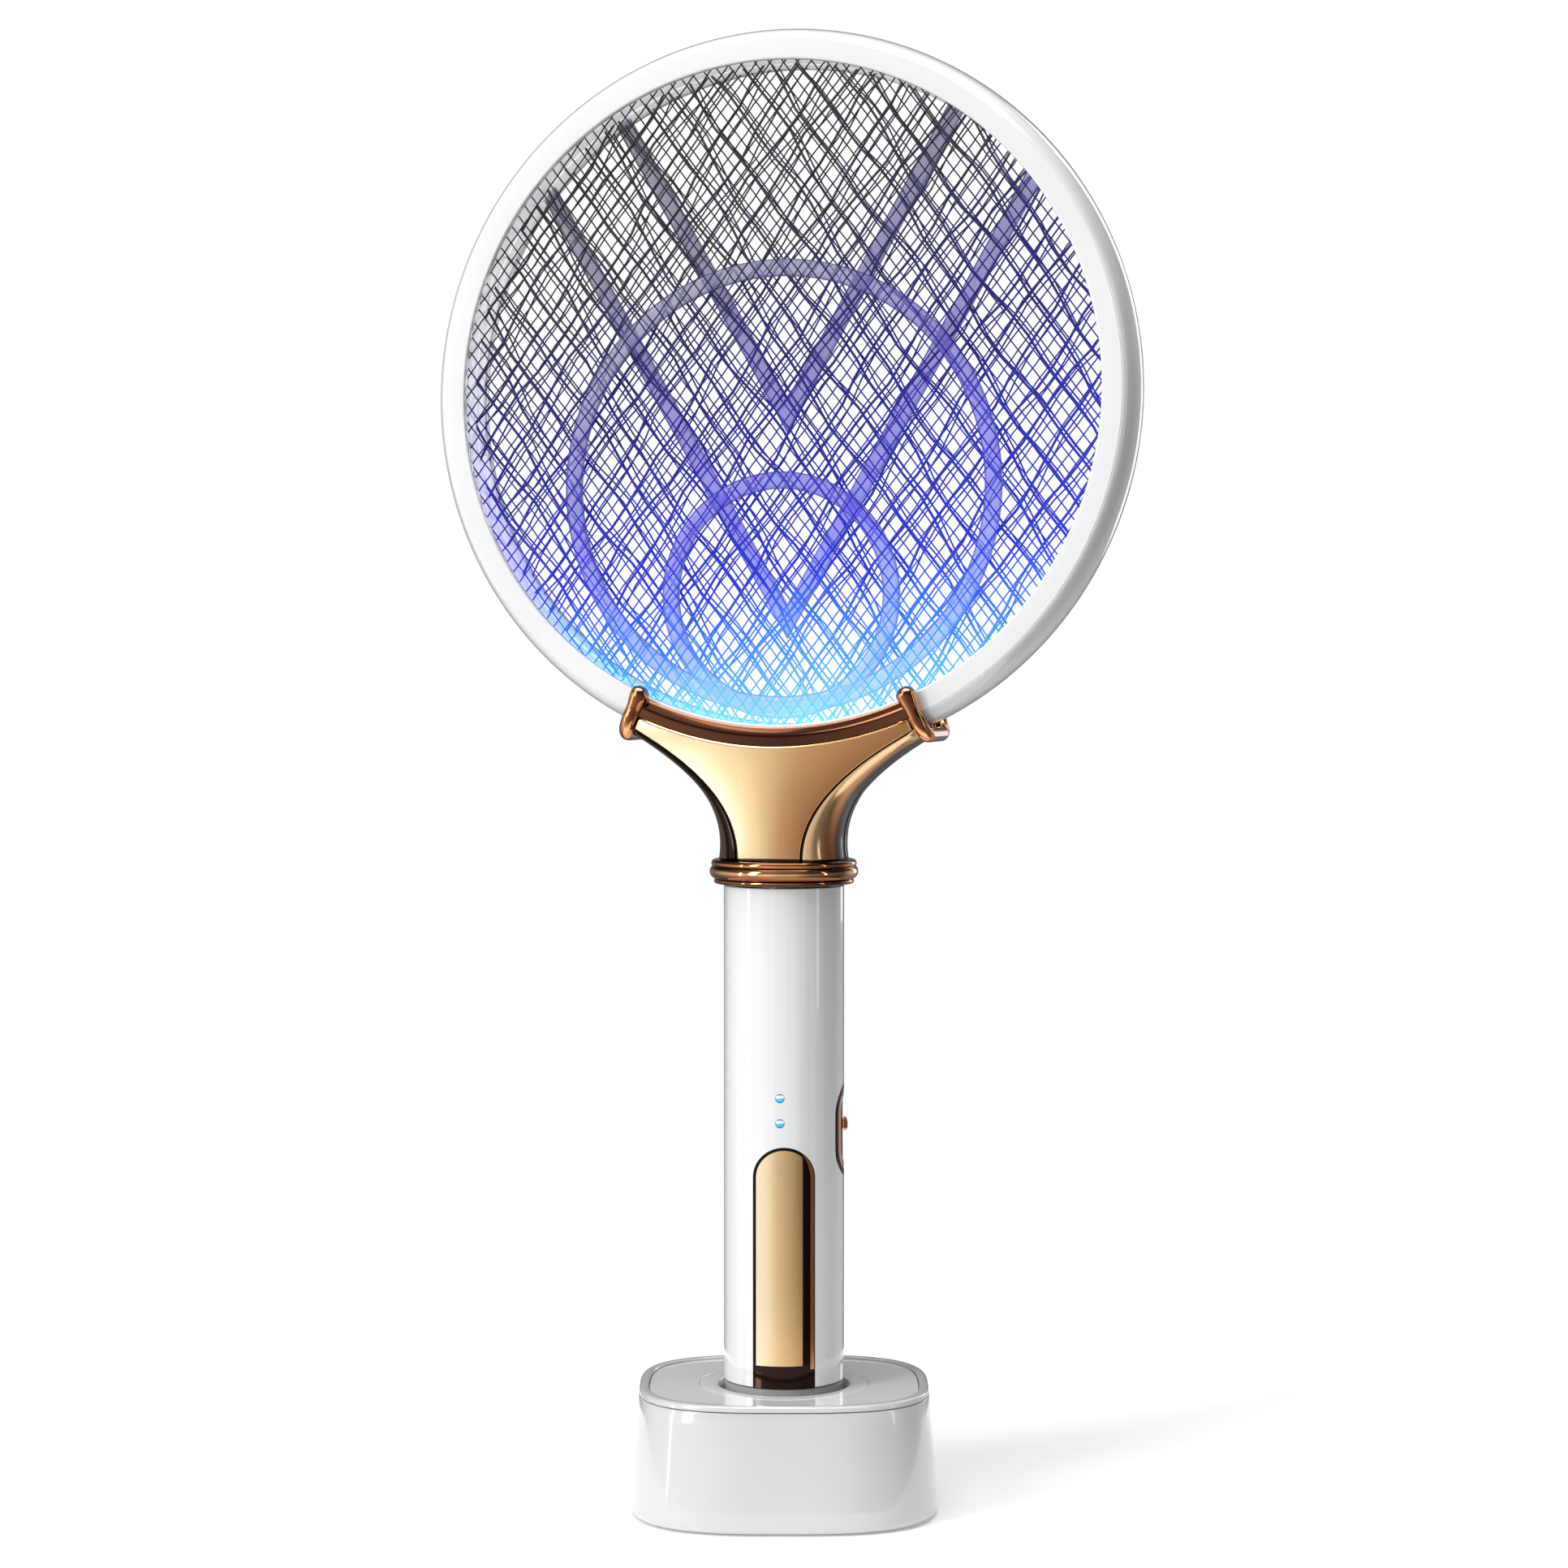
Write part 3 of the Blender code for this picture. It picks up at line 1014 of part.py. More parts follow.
def make_ribs(head):
    """Front frame with two loops, rear frame with two V shaped ribs."""
    middle = (HOOP_FRONT + HOOP_BACK) / 2
    half = RIB_THICKNESS / 2
    front = hoop("front_rib_frame", 1, head)
    loops = (
        ("big_loop", BIG_LOOP_RADIUS, BIG_LOOP_MARGIN, half),
        ("small_loop", SMALL_LOOP_RADIUS, SMALL_LOOP_MARGIN, half * THINNER),
    )
    for name, radius, margin, thick in loops:
        low, high = radius - RIB_WIDTH / 2, radius + RIB_WIDTH / 2
        profile = [(low, thick), (high, thick), (high, -thick), (low, -thick)]
        at = (0, -middle, HEAD_HEIGHT - MESH_RADIUS + margin + radius)
        join(front, turned(name, profile, RIB_VIOLET, at, FACING_FRONT, head, 28))
    tab_top = -MESH_RADIUS + BIG_LOOP_MARGIN + RIB_WIDTH / 2
    tab_bottom = -MESH_RADIUS - HOOP_WIDTH / 2
    at = (0, -middle, HEAD_HEIGHT + (tab_top + tab_bottom) / 2)
    tab = (LOOP_TAB_WIDTH, 2.2 * half, tab_top - tab_bottom)
    join(front, block("loop_tab", tab, RIB_VIOLET, at, parent=head))

    rear = hoop("rear_rib_frame", -1, head)
    for name, drop, thick in (("inner", INNER_RIB_DROP, half), ("outer", OUTER_RIB_DROP, half * THINNER)):
        reach = MESH_RADIUS + HOOP_WIDTH / 2
        length = drop * cos(RIB_LEAN) + sqrt(reach ** 2 - (drop * sin(RIB_LEAN)) ** 2)
        for side in (-1, 1):
            lean = side * RIB_LEAN
            start = -RIB_WIDTH / 3
            along = (length + start) / 2
            at = (along * sin(lean), middle, HEAD_HEIGHT - drop + along * cos(lean))
            size = (RIB_WIDTH, 2 * thick * (1 if side < 0 else 0.94), length - start)
            join(rear, block(f"{name}_rib_{side}", size, RIB_VIOLET, at, (0, lean, 0), head))


def make_lamp(head):
    """Lamp board in the lowest part of the ring, shining into the frames."""
    top = HEAD_HEIGHT - HOOP_OUTER - 0.5 * MM
    wide, deep, thick = LAMP_BOARD
    at = (0, 0, top - LAMP_HEIGHT - GAP - thick / 2)
    block("lamp_board", (wide, deep, thick), BOARD_GREEN, at, parent=head)
    for number, side in enumerate((-1, 1), 1):
        at = (side * LAMP_OFFSET, 0, top - LAMP_HEIGHT / 2)
        block(f"lamp_led_{number}", (LAMP_SIZE, LAMP_SIZE, LAMP_HEIGHT), LAMP_WHITE, at, parent=head)


def main():
    head = bpy.data.objects.new("head_pivot", None)
    head.rotation_euler = (0, 0, HEAD_TURN)
    PARTS.objects.link(head)
    make_base()
    make_dock()
    make_handle()
    make_trigger()
    make_lights()
    make_mode_switch()
    make_swivel(head)
    make_throat(head)
    make_ring(head)
    make_grids(head)
    make_ribs(head)
    make_lamp(head)
    bpy.context.view_layer.update()


main()
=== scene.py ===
# %% [markdown]
# # The looks of an electric fly swatter in its charging dock
#
# The imported model fixes where every part sits and how it moves. This lesson puts the visible surfaces on
# it: glossy white shells, a gold plated throat, and three wire meshes with blue light from below painted
# into them. Each cell makes one piece or one finish and says why it is made that way.

from math import acos, atan2, copysign, cos, degrees, hypot, pi, radians, sin, sqrt, tan

import bmesh
import bpy
from mathutils import Matrix, Vector


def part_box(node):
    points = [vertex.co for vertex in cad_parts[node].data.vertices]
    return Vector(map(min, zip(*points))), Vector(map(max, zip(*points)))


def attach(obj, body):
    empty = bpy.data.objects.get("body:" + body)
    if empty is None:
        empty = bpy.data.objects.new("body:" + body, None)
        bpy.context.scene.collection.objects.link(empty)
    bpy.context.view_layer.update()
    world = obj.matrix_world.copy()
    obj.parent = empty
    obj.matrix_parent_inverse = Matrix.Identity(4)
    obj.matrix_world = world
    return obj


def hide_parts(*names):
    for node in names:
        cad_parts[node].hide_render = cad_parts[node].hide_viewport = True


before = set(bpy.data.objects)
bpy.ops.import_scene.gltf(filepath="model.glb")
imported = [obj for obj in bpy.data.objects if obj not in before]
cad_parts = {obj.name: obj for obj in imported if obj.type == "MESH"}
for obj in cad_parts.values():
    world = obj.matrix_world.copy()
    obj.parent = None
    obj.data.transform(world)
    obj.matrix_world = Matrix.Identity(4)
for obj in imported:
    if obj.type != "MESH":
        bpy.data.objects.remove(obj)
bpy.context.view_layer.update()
MM = 0.001

# %% [markdown]
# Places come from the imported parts, so a piece fits without any measuring by eye. The head is turned a
# little on its neck: the two ferrules lie on a line across the head, and the line's direction gives the
# turn. Everything on the head is built square to the axes and then turned by that angle.

# %% Places and sizes read from the frame
def low(node):
    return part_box(node)[0]


def high(node):
    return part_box(node)[1]


def middle(node):
    return (low(node) + high(node)) / 2


across_head = middle("ferrule_right") - middle("ferrule_left")
TURN = atan2(across_head.y, across_head.x)
TUBE_RADIUS = high("handle_tube").x
TUBE_WALL = 2.0 * MM
TUBE_BOTTOM, TUBE_TOP = low("handle_tube").z, high("handle_tube").z
RING_RADIUS = (high("ring_front").z - low("ring_front").z) / 2
HEAD_HEIGHT = middle("ring_front").z
RING_WIDTH = 10.4 * MM
MESH_RADIUS = RING_RADIUS - RING_WIDTH
DOCK_TOP = high("base_rim").z
GAP = 0.3 * MM
print("head turned", round(degrees(TURN), 1), "degrees; mesh radius", round(MESH_RADIUS / MM, 1), "mm")

# %% [markdown]
# Shader maths reads best as ordinary sums. A Term wraps one output socket, and an operator on it adds
# the Math node that does the sum.

# %% Shader terms
class Term:
    """An output socket that can be used in sums."""

    def __init__(self, recipe, socket):
        self.recipe = recipe
        self.socket = socket

    def maths(self, operation, *values):
        settings = {"operation": operation}
        return self.recipe.add("ShaderNodeMath", settings, dict(enumerate(values)))

    def __add__(self, other):
        return self.maths("ADD", self, other)

    __radd__ = __add__

    def __sub__(self, other):
        return self.maths("SUBTRACT", self, other)

    def __rsub__(self, other):
        return self.maths("SUBTRACT", other, self)

    def __mul__(self, other):
        return self.maths("MULTIPLY", self, other)

    __rmul__ = __mul__

    def __truediv__(self, other):
        return self.maths("DIVIDE", self, other)

    def within(self, least, most):
        return self.maths("MINIMUM", self.maths("MAXIMUM", self, least), most)


# %% [markdown]
# A Recipe is one node tree. `add` makes any node from its type, its settings and what its sockets hold,
# so a ramp or a mix takes one line wherever it is wanted.

# %% Node recipes
class Recipe:
    """One node tree."""

    def __init__(self, tree):
        self.tree = tree

    def add(self, kind, settings, sockets, output=0):
        node = self.tree.nodes.new(kind)
        for setting, value in settings.items():
            if setting == "stops":
                self.set_stops(node.color_ramp.elements, value)
            else:
                setattr(node, setting, value)
        for socket, value in sockets.items():
            if isinstance(value, Term):
                self.tree.links.new(value.socket, node.inputs[socket])
            else:
                node.inputs[socket].default_value = value
        return Term(self, node.outputs[output])

    @staticmethod
    def set_stops(elements, stops):
        while len(elements) < len(stops):
            elements.new(1)
        for element, (position, colour) in zip(elements, stops):
            element.position = position
            element.color = (*colour, 1)

    def ramp(self, value, stops):
        return self.add("ShaderNodeValToRGB", {"stops": stops}, {0: value})

    def mix(self, share, first, second, blend="MIX"):
        settings = {"data_type": "RGBA", "blend_type": blend}
        return self.add("ShaderNodeMix", settings, {0: share, 6: first, 7: second}, 2)


# %% [markdown]
# A Finish is the recipe of one material, and `feed` joins a result to its surface shader. Patterns are
# measured in metres on the object. Finishes on the head measure places square to the head, not to the
# room, so a tint runs across the head however far the head is turned.

# %% Finishes
class Finish(Recipe):
    """One material, built from nodes round a Principled shader."""

    def __init__(self, name, fixed, on_head=False):
        self.material = bpy.data.materials.new(name)
        self.material.use_nodes = True
        super().__init__(self.material.node_tree)
        self.shader = self.tree.nodes["Principled BSDF"]
        self.on_head = on_head
        for socket, value in fixed.items():
            self.shader.inputs[socket].default_value = value

    def feed(self, socket, term):
        self.tree.links.new(term.socket, self.shader.inputs[socket])

    def place(self):
        spot = self.add("ShaderNodeTexCoord", {}, {}, "Object")
        if self.on_head:
            return self.add("ShaderNodeMapping", {}, {"Vector": spot, "Rotation": (0, 0, -TURN)})
        return spot

    def along(self, axis):
        """One coordinate of the surface point, in metres."""
        return self.add("ShaderNodeSeparateXYZ", {}, {0: self.place()}, axis)

    def noise(self, scale, detail=2.0, stretch=(1, 1, 1)):
        """Noise from 0 to 1 whose grain is about one over the scale, in metres."""
        spread = self.add("ShaderNodeMapping", {}, {"Vector": self.place(), "Scale": stretch})
        return self.add("ShaderNodeTexNoise", {}, {"Vector": spread, "Scale": scale, "Detail": detail})

    def bump(self, height, strength, depth):
        sockets = {"Strength": strength, "Distance": depth, "Height": height}
        self.feed("Normal", self.add("ShaderNodeBump", {}, sockets))


# %% [markdown]
# Glossy moulded plastic is never perfectly even. The white shells get a faint cool and warm drift in
# colour, a polish that varies a little, and the shallow ripple that moulders call orange peel. The same
# recipe, with other numbers, serves the grey and black plastics and the rubber. The dock's white is a
# darker copy of the ring's, painted shade that greys the dock, and the extruded handle has faint streaks
# along its length, which come from a noise that is drawn out upwards.

# %% Moulded plastics
def moulded(name, colour, polish, peel, grain=260.0, drift=0.05, fixed=None):
    """A plastic or rubber: colour, roughness from and to, depth of the surface ripple in metres."""
    finish = Finish(name, fixed or {})
    wide = finish.noise(18.0, 3.0)
    darker = tuple(channel * (1 - drift) for channel in colour)
    stops = [(0.3, darker), (0.7, colour)]
    finish.feed("Base Color", finish.ramp(wide, stops))
    low_polish, high_polish = polish
    finish.feed("Roughness", finish.noise(90.0, 4.0) * (high_polish - low_polish) + low_polish)
    finish.bump(finish.noise(grain, 5.0), 0.5, peel)
    return finish


GLOSS = {"Specular IOR Level": 0.6, "Coat Weight": 1.0, "Coat Roughness": 0.03}
WHITE, WHITE_POLISH = (0.79, 0.797, 0.805), (0.10, 0.20)
gloss_white = moulded("gloss_white", WHITE, WHITE_POLISH, 0.000006, fixed=GLOSS)
# The dock's darker copy of the white is painted shade.
dock_white_painted_shade = moulded("dock_white_painted_shade", (0.62, 0.627, 0.635), WHITE_POLISH, 0.000006, fixed=GLOSS)
handle_white = moulded("handle_white", WHITE, WHITE_POLISH, 0.000004, fixed=GLOSS)
DRAWN_OUT = (1, 1, 0.012)
streaks = [(0.35, (0.77, 0.777, 0.785)), (0.6, (0.81, 0.817, 0.825))]
handle_white.feed("Base Color", handle_white.ramp(handle_white.noise(420.0, 3.0, DRAWN_OUT), streaks))
panel_grey = moulded("panel_grey", (0.92, 0.925, 0.93), (0.03, 0.07), 0.000002,
                     fixed={"IOR": 1.6, "Coat Weight": 1.0, "Coat Roughness": 0.02})
cup_grey = moulded("cup_grey", (0.42, 0.43, 0.44), (0.25, 0.4), 0.00003, grain=1800.0)
cap_grey = moulded("cap_grey", (0.36, 0.36, 0.37), (0.28, 0.42), 0.00003, grain=1800.0)
gloss_black = moulded("gloss_black", (0.008, 0.009, 0.010), (0.22, 0.3), 0.000003,
                      fixed={"Specular IOR Level": 0.12})
black_plastic = moulded("black_plastic", (0.03, 0.03, 0.03), (0.4, 0.55), 0.00003, grain=2200.0)
natural_plastic = moulded("natural_plastic", (0.75, 0.72, 0.63), (0.35, 0.5), 0.00001)
rubber = moulded("rubber", (0.045, 0.045, 0.047), (0.7, 0.85), 0.00006, grain=2600.0, drift=0.25)
cell_wrap = moulded("cell_wrap", (0.05, 0.22, 0.5), (0.25, 0.4), 0.00002, grain=600.0)
winding_tape = moulded("winding_tape", (0.75, 0.58, 0.10), (0.3, 0.45), 0.00003, grain=900.0)
print("materials so far:", len(bpy.data.materials))

# %% [markdown]
# The throat and the trigger are plastic with a mirror-bright metal plating. Its tint runs from pale
# champagne on one side to deep copper on the other, so the colour is a ramp along x; this sweep is painted
# light, a painted highlight on the pale side and painted shade on the copper side. A very fine
# ripple keeps the mirror from looking computed, and thin handling marks vary the polish.

# %% Plated finishes
def cloudy(finish, tint):
    """The tint with faint darker clouds in it."""
    cloud = finish.ramp(finish.noise(40.0, 3.0), [(0.25, (0.93, 0.93, 0.93)), (0.8, (1, 1, 1))])
    return finish.mix(1.0, tint, cloud, "MULTIPLY")


def plated(name, stops, reach, polish=(0.08, 0.16)):
    """Metal plating whose tint follows x, from reach left of the middle to reach on the right; where the
    stops run from light to dark, the sweep is painted light.
    """
    finish = Finish(name, {"Metallic": 1.0, "Coat Weight": 0.25, "Coat Roughness": 0.03})
    share = finish.along("X") / (2 * reach) + 0.5
    finish.feed("Base Color", cloudy(finish, finish.ramp(share, stops)))
    low_polish, high_polish = polish
    marks = finish.noise(240.0, 6.0, (1, 1, 0.15))
    finish.feed("Roughness", marks * (high_polish - low_polish) + low_polish)
    finish.bump(finish.noise(160.0, 3.0), 0.4, 0.000004)
    return finish


# Near black, for painted shade and painted dark reflections on the collar and the throat.
PAINTED_DARK = (0.010, 0.004, 0.002)
# The trigger's sweep from cream to tan is painted light: a painted highlight on the left, painted shade on
# the right.
trigger_gold = plated("trigger_gold", [(0.0, (1.0, 0.86, 0.62)), (0.45, (0.88, 0.60, 0.31)),
                                       (0.85, (0.66, 0.38, 0.16))], 9 * MM, (0.2, 0.28))
copper = plated("copper", [(0.0, (0.64, 0.26, 0.12)), (1.0, (0.66, 0.28, 0.13))], 20 * MM)
dark_bronze = plated("dark_bronze", [(0.0, (0.16, 0.055, 0.022)), (0.5, (0.05, 0.014, 0.006)),
                                     (1.0, (0.13, 0.045, 0.018))], 46 * MM)
bezel_bronze = plated("bezel_bronze", [(0.0, (0.022, 0.007, 0.004)), (1.0, (0.014, 0.004, 0.002))], 10 * MM)
steel = plated("steel", [(0.0, (0.58, 0.59, 0.61)), (1.0, (0.62, 0.63, 0.65))], 40 * MM, (0.2, 0.36))
gold_contact = plated("gold_contact", [(0.0, (0.86, 0.62, 0.26)), (1.0, (0.9, 0.68, 0.3))], 10 * MM,
                      (0.15, 0.3))
print("materials so far:", len(bpy.data.materials))

# %% [markdown]
# A shape that is turned, such as the tube, the cup or the ring, is one closed profile carried round an
# axis. `softened` rounds a profile's corners the way a real moulding tool is radiused, because a
# perfectly sharp edge catches no light. `lofted` joins rows of points with faces.

# %% Profiles and rows of points
ROUND = 160


def circle(steps=ROUND):
    """Cosine and sine of evenly spaced angles round a circle."""
    return [(cos(2 * pi * step / steps), sin(2 * pi * step / steps)) for step in range(steps)]


def softened(corners, steps=4):
    """Closed outline with each corner (a, b, radius) drawn as a short curve."""
    points = []
    count = len(corners)
    for index, (a, b, radius) in enumerate(corners):
        if radius == 0:
            points.append((a, b))
            continue
        here = Vector((a, b))
        before = Vector(corners[index - 1][:2]) - here
        after = Vector(corners[(index + 1) % count][:2]) - here
        reach = min(radius, 0.45 * before.length, 0.45 * after.length)
        start, end = here + before.normalized() * reach, here + after.normalized() * reach
        for step in range(steps + 1):
            t = step / steps
            points.append(tuple(start * (1 - t) ** 2 + here * 2 * t * (1 - t) + end * t * t))
    return points


def lofted(rows, loop=False, caps=False):
    """Faces between rows of points; loop joins the last row to the first."""
    shape = bmesh.new()
    made = [[shape.verts.new(point) for point in row] for row in rows]
    pairs = list(zip(made, made[1:]))
    if loop:
        pairs.append((made[-1], made[0]))
    for lower, upper in pairs:
        for index in range(len(lower)):
            after = (index + 1) % len(lower)
            shape.faces.new((lower[index], lower[after], upper[after], upper[index]))
    if caps:
        shape.faces.new(made[0])
        shape.faces.new(made[-1])
    bmesh.ops.remove_doubles(shape, verts=shape.verts, dist=1e-7)
    bmesh.ops.recalc_face_normals(shape, faces=shape.faces)
    return shape


def turned(profile, centre=(0, 0, 0), facing_front=False, steps=ROUND, loop=True):
    """A profile of (radius, height) carried round the Z axis, or round the axis that faces the front."""
    rows = []
    for radius, height in profile:
        row = []
        for cosine, sine in circle(steps):
            across, along = radius * cosine, radius * sine
            row.append((across, -height, along) if facing_front else (across, along, height))
        rows.append([Vector(point) + Vector(centre) for point in row])
    return lofted(rows, loop)


# %% [markdown]
# `show` turns a shape into a visible object. It smooths the shading but keeps true corners sharp, parents
# the piece to an empty for the body it rides on, and hides the imported part it takes the place of.

# %% Showing a piece
def head_turned(shape):
    """Turns a shape that was built square to the head onto the head."""
    bmesh.ops.rotate(shape, cent=(0, 0, 0), matrix=Matrix.Rotation(TURN, 3, "Z"), verts=shape.verts)
    return shape


def show(name, shape, finish, body, replaces=(), on_head=False, sharp=32):
    """Makes an object of a shape, gives it its finish, and lets it ride on its body."""
    if on_head:
        head_turned(shape)
    mesh = bpy.data.meshes.new(name)
    shape.to_mesh(mesh)
    shape.free()
    mesh.shade_smooth()
    mesh.set_sharp_from_angle(angle=radians(sharp))
    mesh.materials.append(finish.material)
    made = bpy.data.objects.new(name, mesh)
    bpy.context.scene.collection.objects.link(made)
    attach(made, body)
    if replaces:
        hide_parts(*replaces)
    print(name, "-", len(mesh.polygons), "faces")
    return made


# %% [markdown]
# The dock is a rounded square that leans inwards as it rises. Its plan is a superellipse, which has no
# flat-to-round join for a reflection to break at. The shell is drawn as one closed skin: up the outside,
# over the lip and down the inside.

# %% Dock outline
DOCK_LOW, DOCK_HIGH = low("base_shell"), high("base_shell")
DOCK_HALF = (DOCK_HIGH.x, DOCK_HIGH.y)
DOCK_LEAN = (3.2 * MM, 4.0 * MM)
DOCK_POWER = 3.0
DOCK_ROUND = 2.4 * MM


def squared_off(value):
    """Moves a cosine or sine outwards, which turns an ellipse into a superellipse."""
    return copysign(abs(value) ** (2 / DOCK_POWER), value)


def dock_row(height, inset=0.0):
    """The dock's outline at a height, moved in by the inset."""
    foot = DOCK_LOW.z + DOCK_ROUND
    share = max(0.0, (height - foot) / (DOCK_TOP - foot))
    half_x = DOCK_HALF[0] - DOCK_LEAN[0] * share - inset
    half_y = DOCK_HALF[1] - DOCK_LEAN[1] * share - inset
    return [(half_x * squared_off(cosine), half_y * squared_off(sine), height) for cosine, sine in circle()]


print("dock", round(2 * DOCK_HALF[0] / MM, 1), "by", round(2 * DOCK_HALF[1] / MM, 1), "mm at the foot")

# %% [markdown]
# The shell's foot rounds under by a quarter circle, its side rises in eight even rows, and its top turns
# in to a lip that carries the rim and the panel.

# %% Dock shell
DOCK_WALL, DOCK_LIP = 2.4 * MM, 5.4 * MM
FOOT_ROWS, SIDE_ROWS = 6, 8
rows = []
for step in range(FOOT_ROWS + 1):
    angle = pi / 2 * step / FOOT_ROWS
    inset = DOCK_ROUND * 0.7 * (1 - sin(angle))
    rows.append(dock_row(DOCK_LOW.z + DOCK_ROUND * (1 - cos(angle)), inset))
side_low = DOCK_LOW.z + DOCK_ROUND
side_high = DOCK_HIGH.z - 0.3 * MM
for step in range(1, SIDE_ROWS + 1):
    rows.append(dock_row(side_low + (side_high - side_low) * step / SIDE_ROWS))
for height, inset in ((DOCK_HIGH.z - 0.1 * MM, 0.1 * MM), (DOCK_HIGH.z, 0.35 * MM), (DOCK_HIGH.z, DOCK_LIP),
                      (DOCK_HIGH.z - DOCK_WALL, DOCK_LIP), (DOCK_HIGH.z - DOCK_WALL, DOCK_WALL),
                      (DOCK_LOW.z, DOCK_WALL)):
    rows.append(dock_row(height, inset))
dock_shell = show("dock_shell", lofted(rows, loop=True), dock_white_painted_shade, "base", ["base_shell"])


# %% [markdown]
# The slot for the plug is cut with a boolean that is applied at once, so what is left is a plain mesh
# and the cutter is gone. The same cut serves every hole that follows.

# %% Cutting holes
def cut_away(made, *cutters):
    """Cuts shapes out of a piece for good, and removes the cutters."""
    for shape in cutters:
        mesh = bpy.data.meshes.new("cutter")
        shape.to_mesh(mesh)
        shape.free()
        cutter = bpy.data.objects.new("cutter", mesh)
        bpy.context.scene.collection.objects.link(cutter)
        hole = made.modifiers.new("hole", "BOOLEAN")
        hole.operation = "DIFFERENCE"
        hole.object = cutter
        depsgraph = bpy.context.evaluated_depsgraph_get()
        result = bpy.data.meshes.new_from_object(made.evaluated_get(depsgraph))
        made.modifiers.remove(hole)
        made.data = result
        bpy.data.objects.remove(cutter)
    return made


def slot_cutter(half_x, half_z, centre, depth):
    """A slot with round ends, cut along Y."""
    rows = []
    for y in (-depth, depth):
        row = []
        for cosine, sine in circle(32):
            x = copysign(half_x - half_z, cosine) + half_z * cosine
            row.append((centre[0] + x, centre[1] + y, centre[2] + half_z * sine))
        rows.append(row)
    return lofted(rows, caps=True)


INLET = middle("usb_inlet_shell")
inlet_half = (high("usb_inlet_shell") - low("usb_inlet_shell")) / 2
cut_away(dock_shell, slot_cutter(inlet_half.x + GAP, inlet_half.z + GAP,
                                 (INLET.x, DOCK_HALF[1], INLET.z), 8 * MM))

# %% [markdown]
# A raised rim frames the dock's top, and inside it lies a mirror-bright grey panel that reflects the
# handle. The rim's top is a soft half round, so it shows as a bright line from every side.

# %% Dock rim and panel
RIM_LOW = low("base_rim").z
RIM_WIDTH = 2.9 * MM
rim_height = DOCK_TOP - RIM_LOW
corners = [(0, 0, 0.2 * MM), (0.05 * MM, rim_height * 0.7, 0.8 * MM), (0.9 * MM, rim_height, 0.9 * MM),
           (RIM_WIDTH - 0.4 * MM, rim_height, 0.5 * MM), (RIM_WIDTH, rim_height - 0.5 * MM, 0.3 * MM),
           (RIM_WIDTH, 0, 0)]
rows = [dock_row(RIM_LOW + height, inset) for inset, height in softened(corners, 6)]
show("dock_rim", lofted(rows, loop=True), dock_white_painted_shade, "base", ["base_rim"], sharp=50)

PANEL_TOP = high("base_top_panel").z
CUP_FLANGE = high("socket_cup").x
CUP_FLOOR = low("socket_cup").z + 2.5 * MM
panel_edge = RIM_WIDTH + GAP
opening = CUP_FLANGE + 0.12 * MM


def round_row(radius, height):
    return [(radius * cosine, radius * sine, height) for cosine, sine in circle()]


rows = [dock_row(RIM_LOW, panel_edge), dock_row(PANEL_TOP - 0.15 * MM, panel_edge),
        dock_row(PANEL_TOP, panel_edge + 0.15 * MM), round_row(opening + 0.1 * MM, PANEL_TOP),
        round_row(opening, PANEL_TOP - 0.1 * MM), round_row(opening, RIM_LOW)]
show("dock_panel", lofted(rows, loop=True), panel_grey, "base", ["base_top_panel"])

# %% [markdown]
# The socket is a turned cup with a funnel mouth. Its flange lies level with the panel and leaves the
# fine ring line round the handle. The two contact pins in its floor stay as they are in the frame.

# %% Dock socket
CAP_RADIUS = high("end_cap").x
CUP_INNER = CAP_RADIUS + 0.7 * MM
CUP_OUTER = CUP_INNER + 3.6 * MM
cup = [
    (0, CUP_FLOOR, 0), (CUP_INNER, CUP_FLOOR, 0.8 * MM), (CUP_INNER, PANEL_TOP - 3 * MM, 1.5 * MM),
    (CUP_INNER + 1.6 * MM, PANEL_TOP, 0.5 * MM), (CUP_FLANGE, PANEL_TOP, 0.15 * MM),
    (CUP_FLANGE, RIM_LOW, 0), (CUP_OUTER, RIM_LOW, 0.3 * MM), (CUP_OUTER, low("socket_cup").z, 0.5 * MM),
    (0, low("socket_cup").z, 0),
]
socket = show("dock_socket", turned(softened(cup), loop=False), cup_grey, "base", ["socket_cup"])
socket.data.materials.append(panel_grey.material)
FLANGE_START = CUP_INNER + 1.4 * MM
for face in socket.data.polygons:
    if hypot(face.center.x, face.center.y) > FLANGE_START and face.center.z > RIM_LOW:
        face.material_index = 1


def plug(radius, depth, rise):
    """Profile of a round cutter, from a depth below its place to a rise above it."""
    return [(0, -depth), (radius, -depth), (radius, rise), (0, rise)]


PIN_HOLE = 1.3 * MM
pin_wells = []
for pin in ("charging_pin_centre", "charging_pin_outer"):
    at = middle(pin)
    well = turned(plug(PIN_HOLE, 6 * MM, 6 * MM), (at.x, at.y, CUP_FLOOR), steps=32, loop=False)
    pin_wells.append(well)
cut_away(socket, *pin_wells)

# %% [markdown]
# A screw is known by its recess. The heads under the dock and on the back of the ring are small domes
# with a cross cut into them; the cross is two crossed blocks, so the heads are made once and placed in
# a loop.

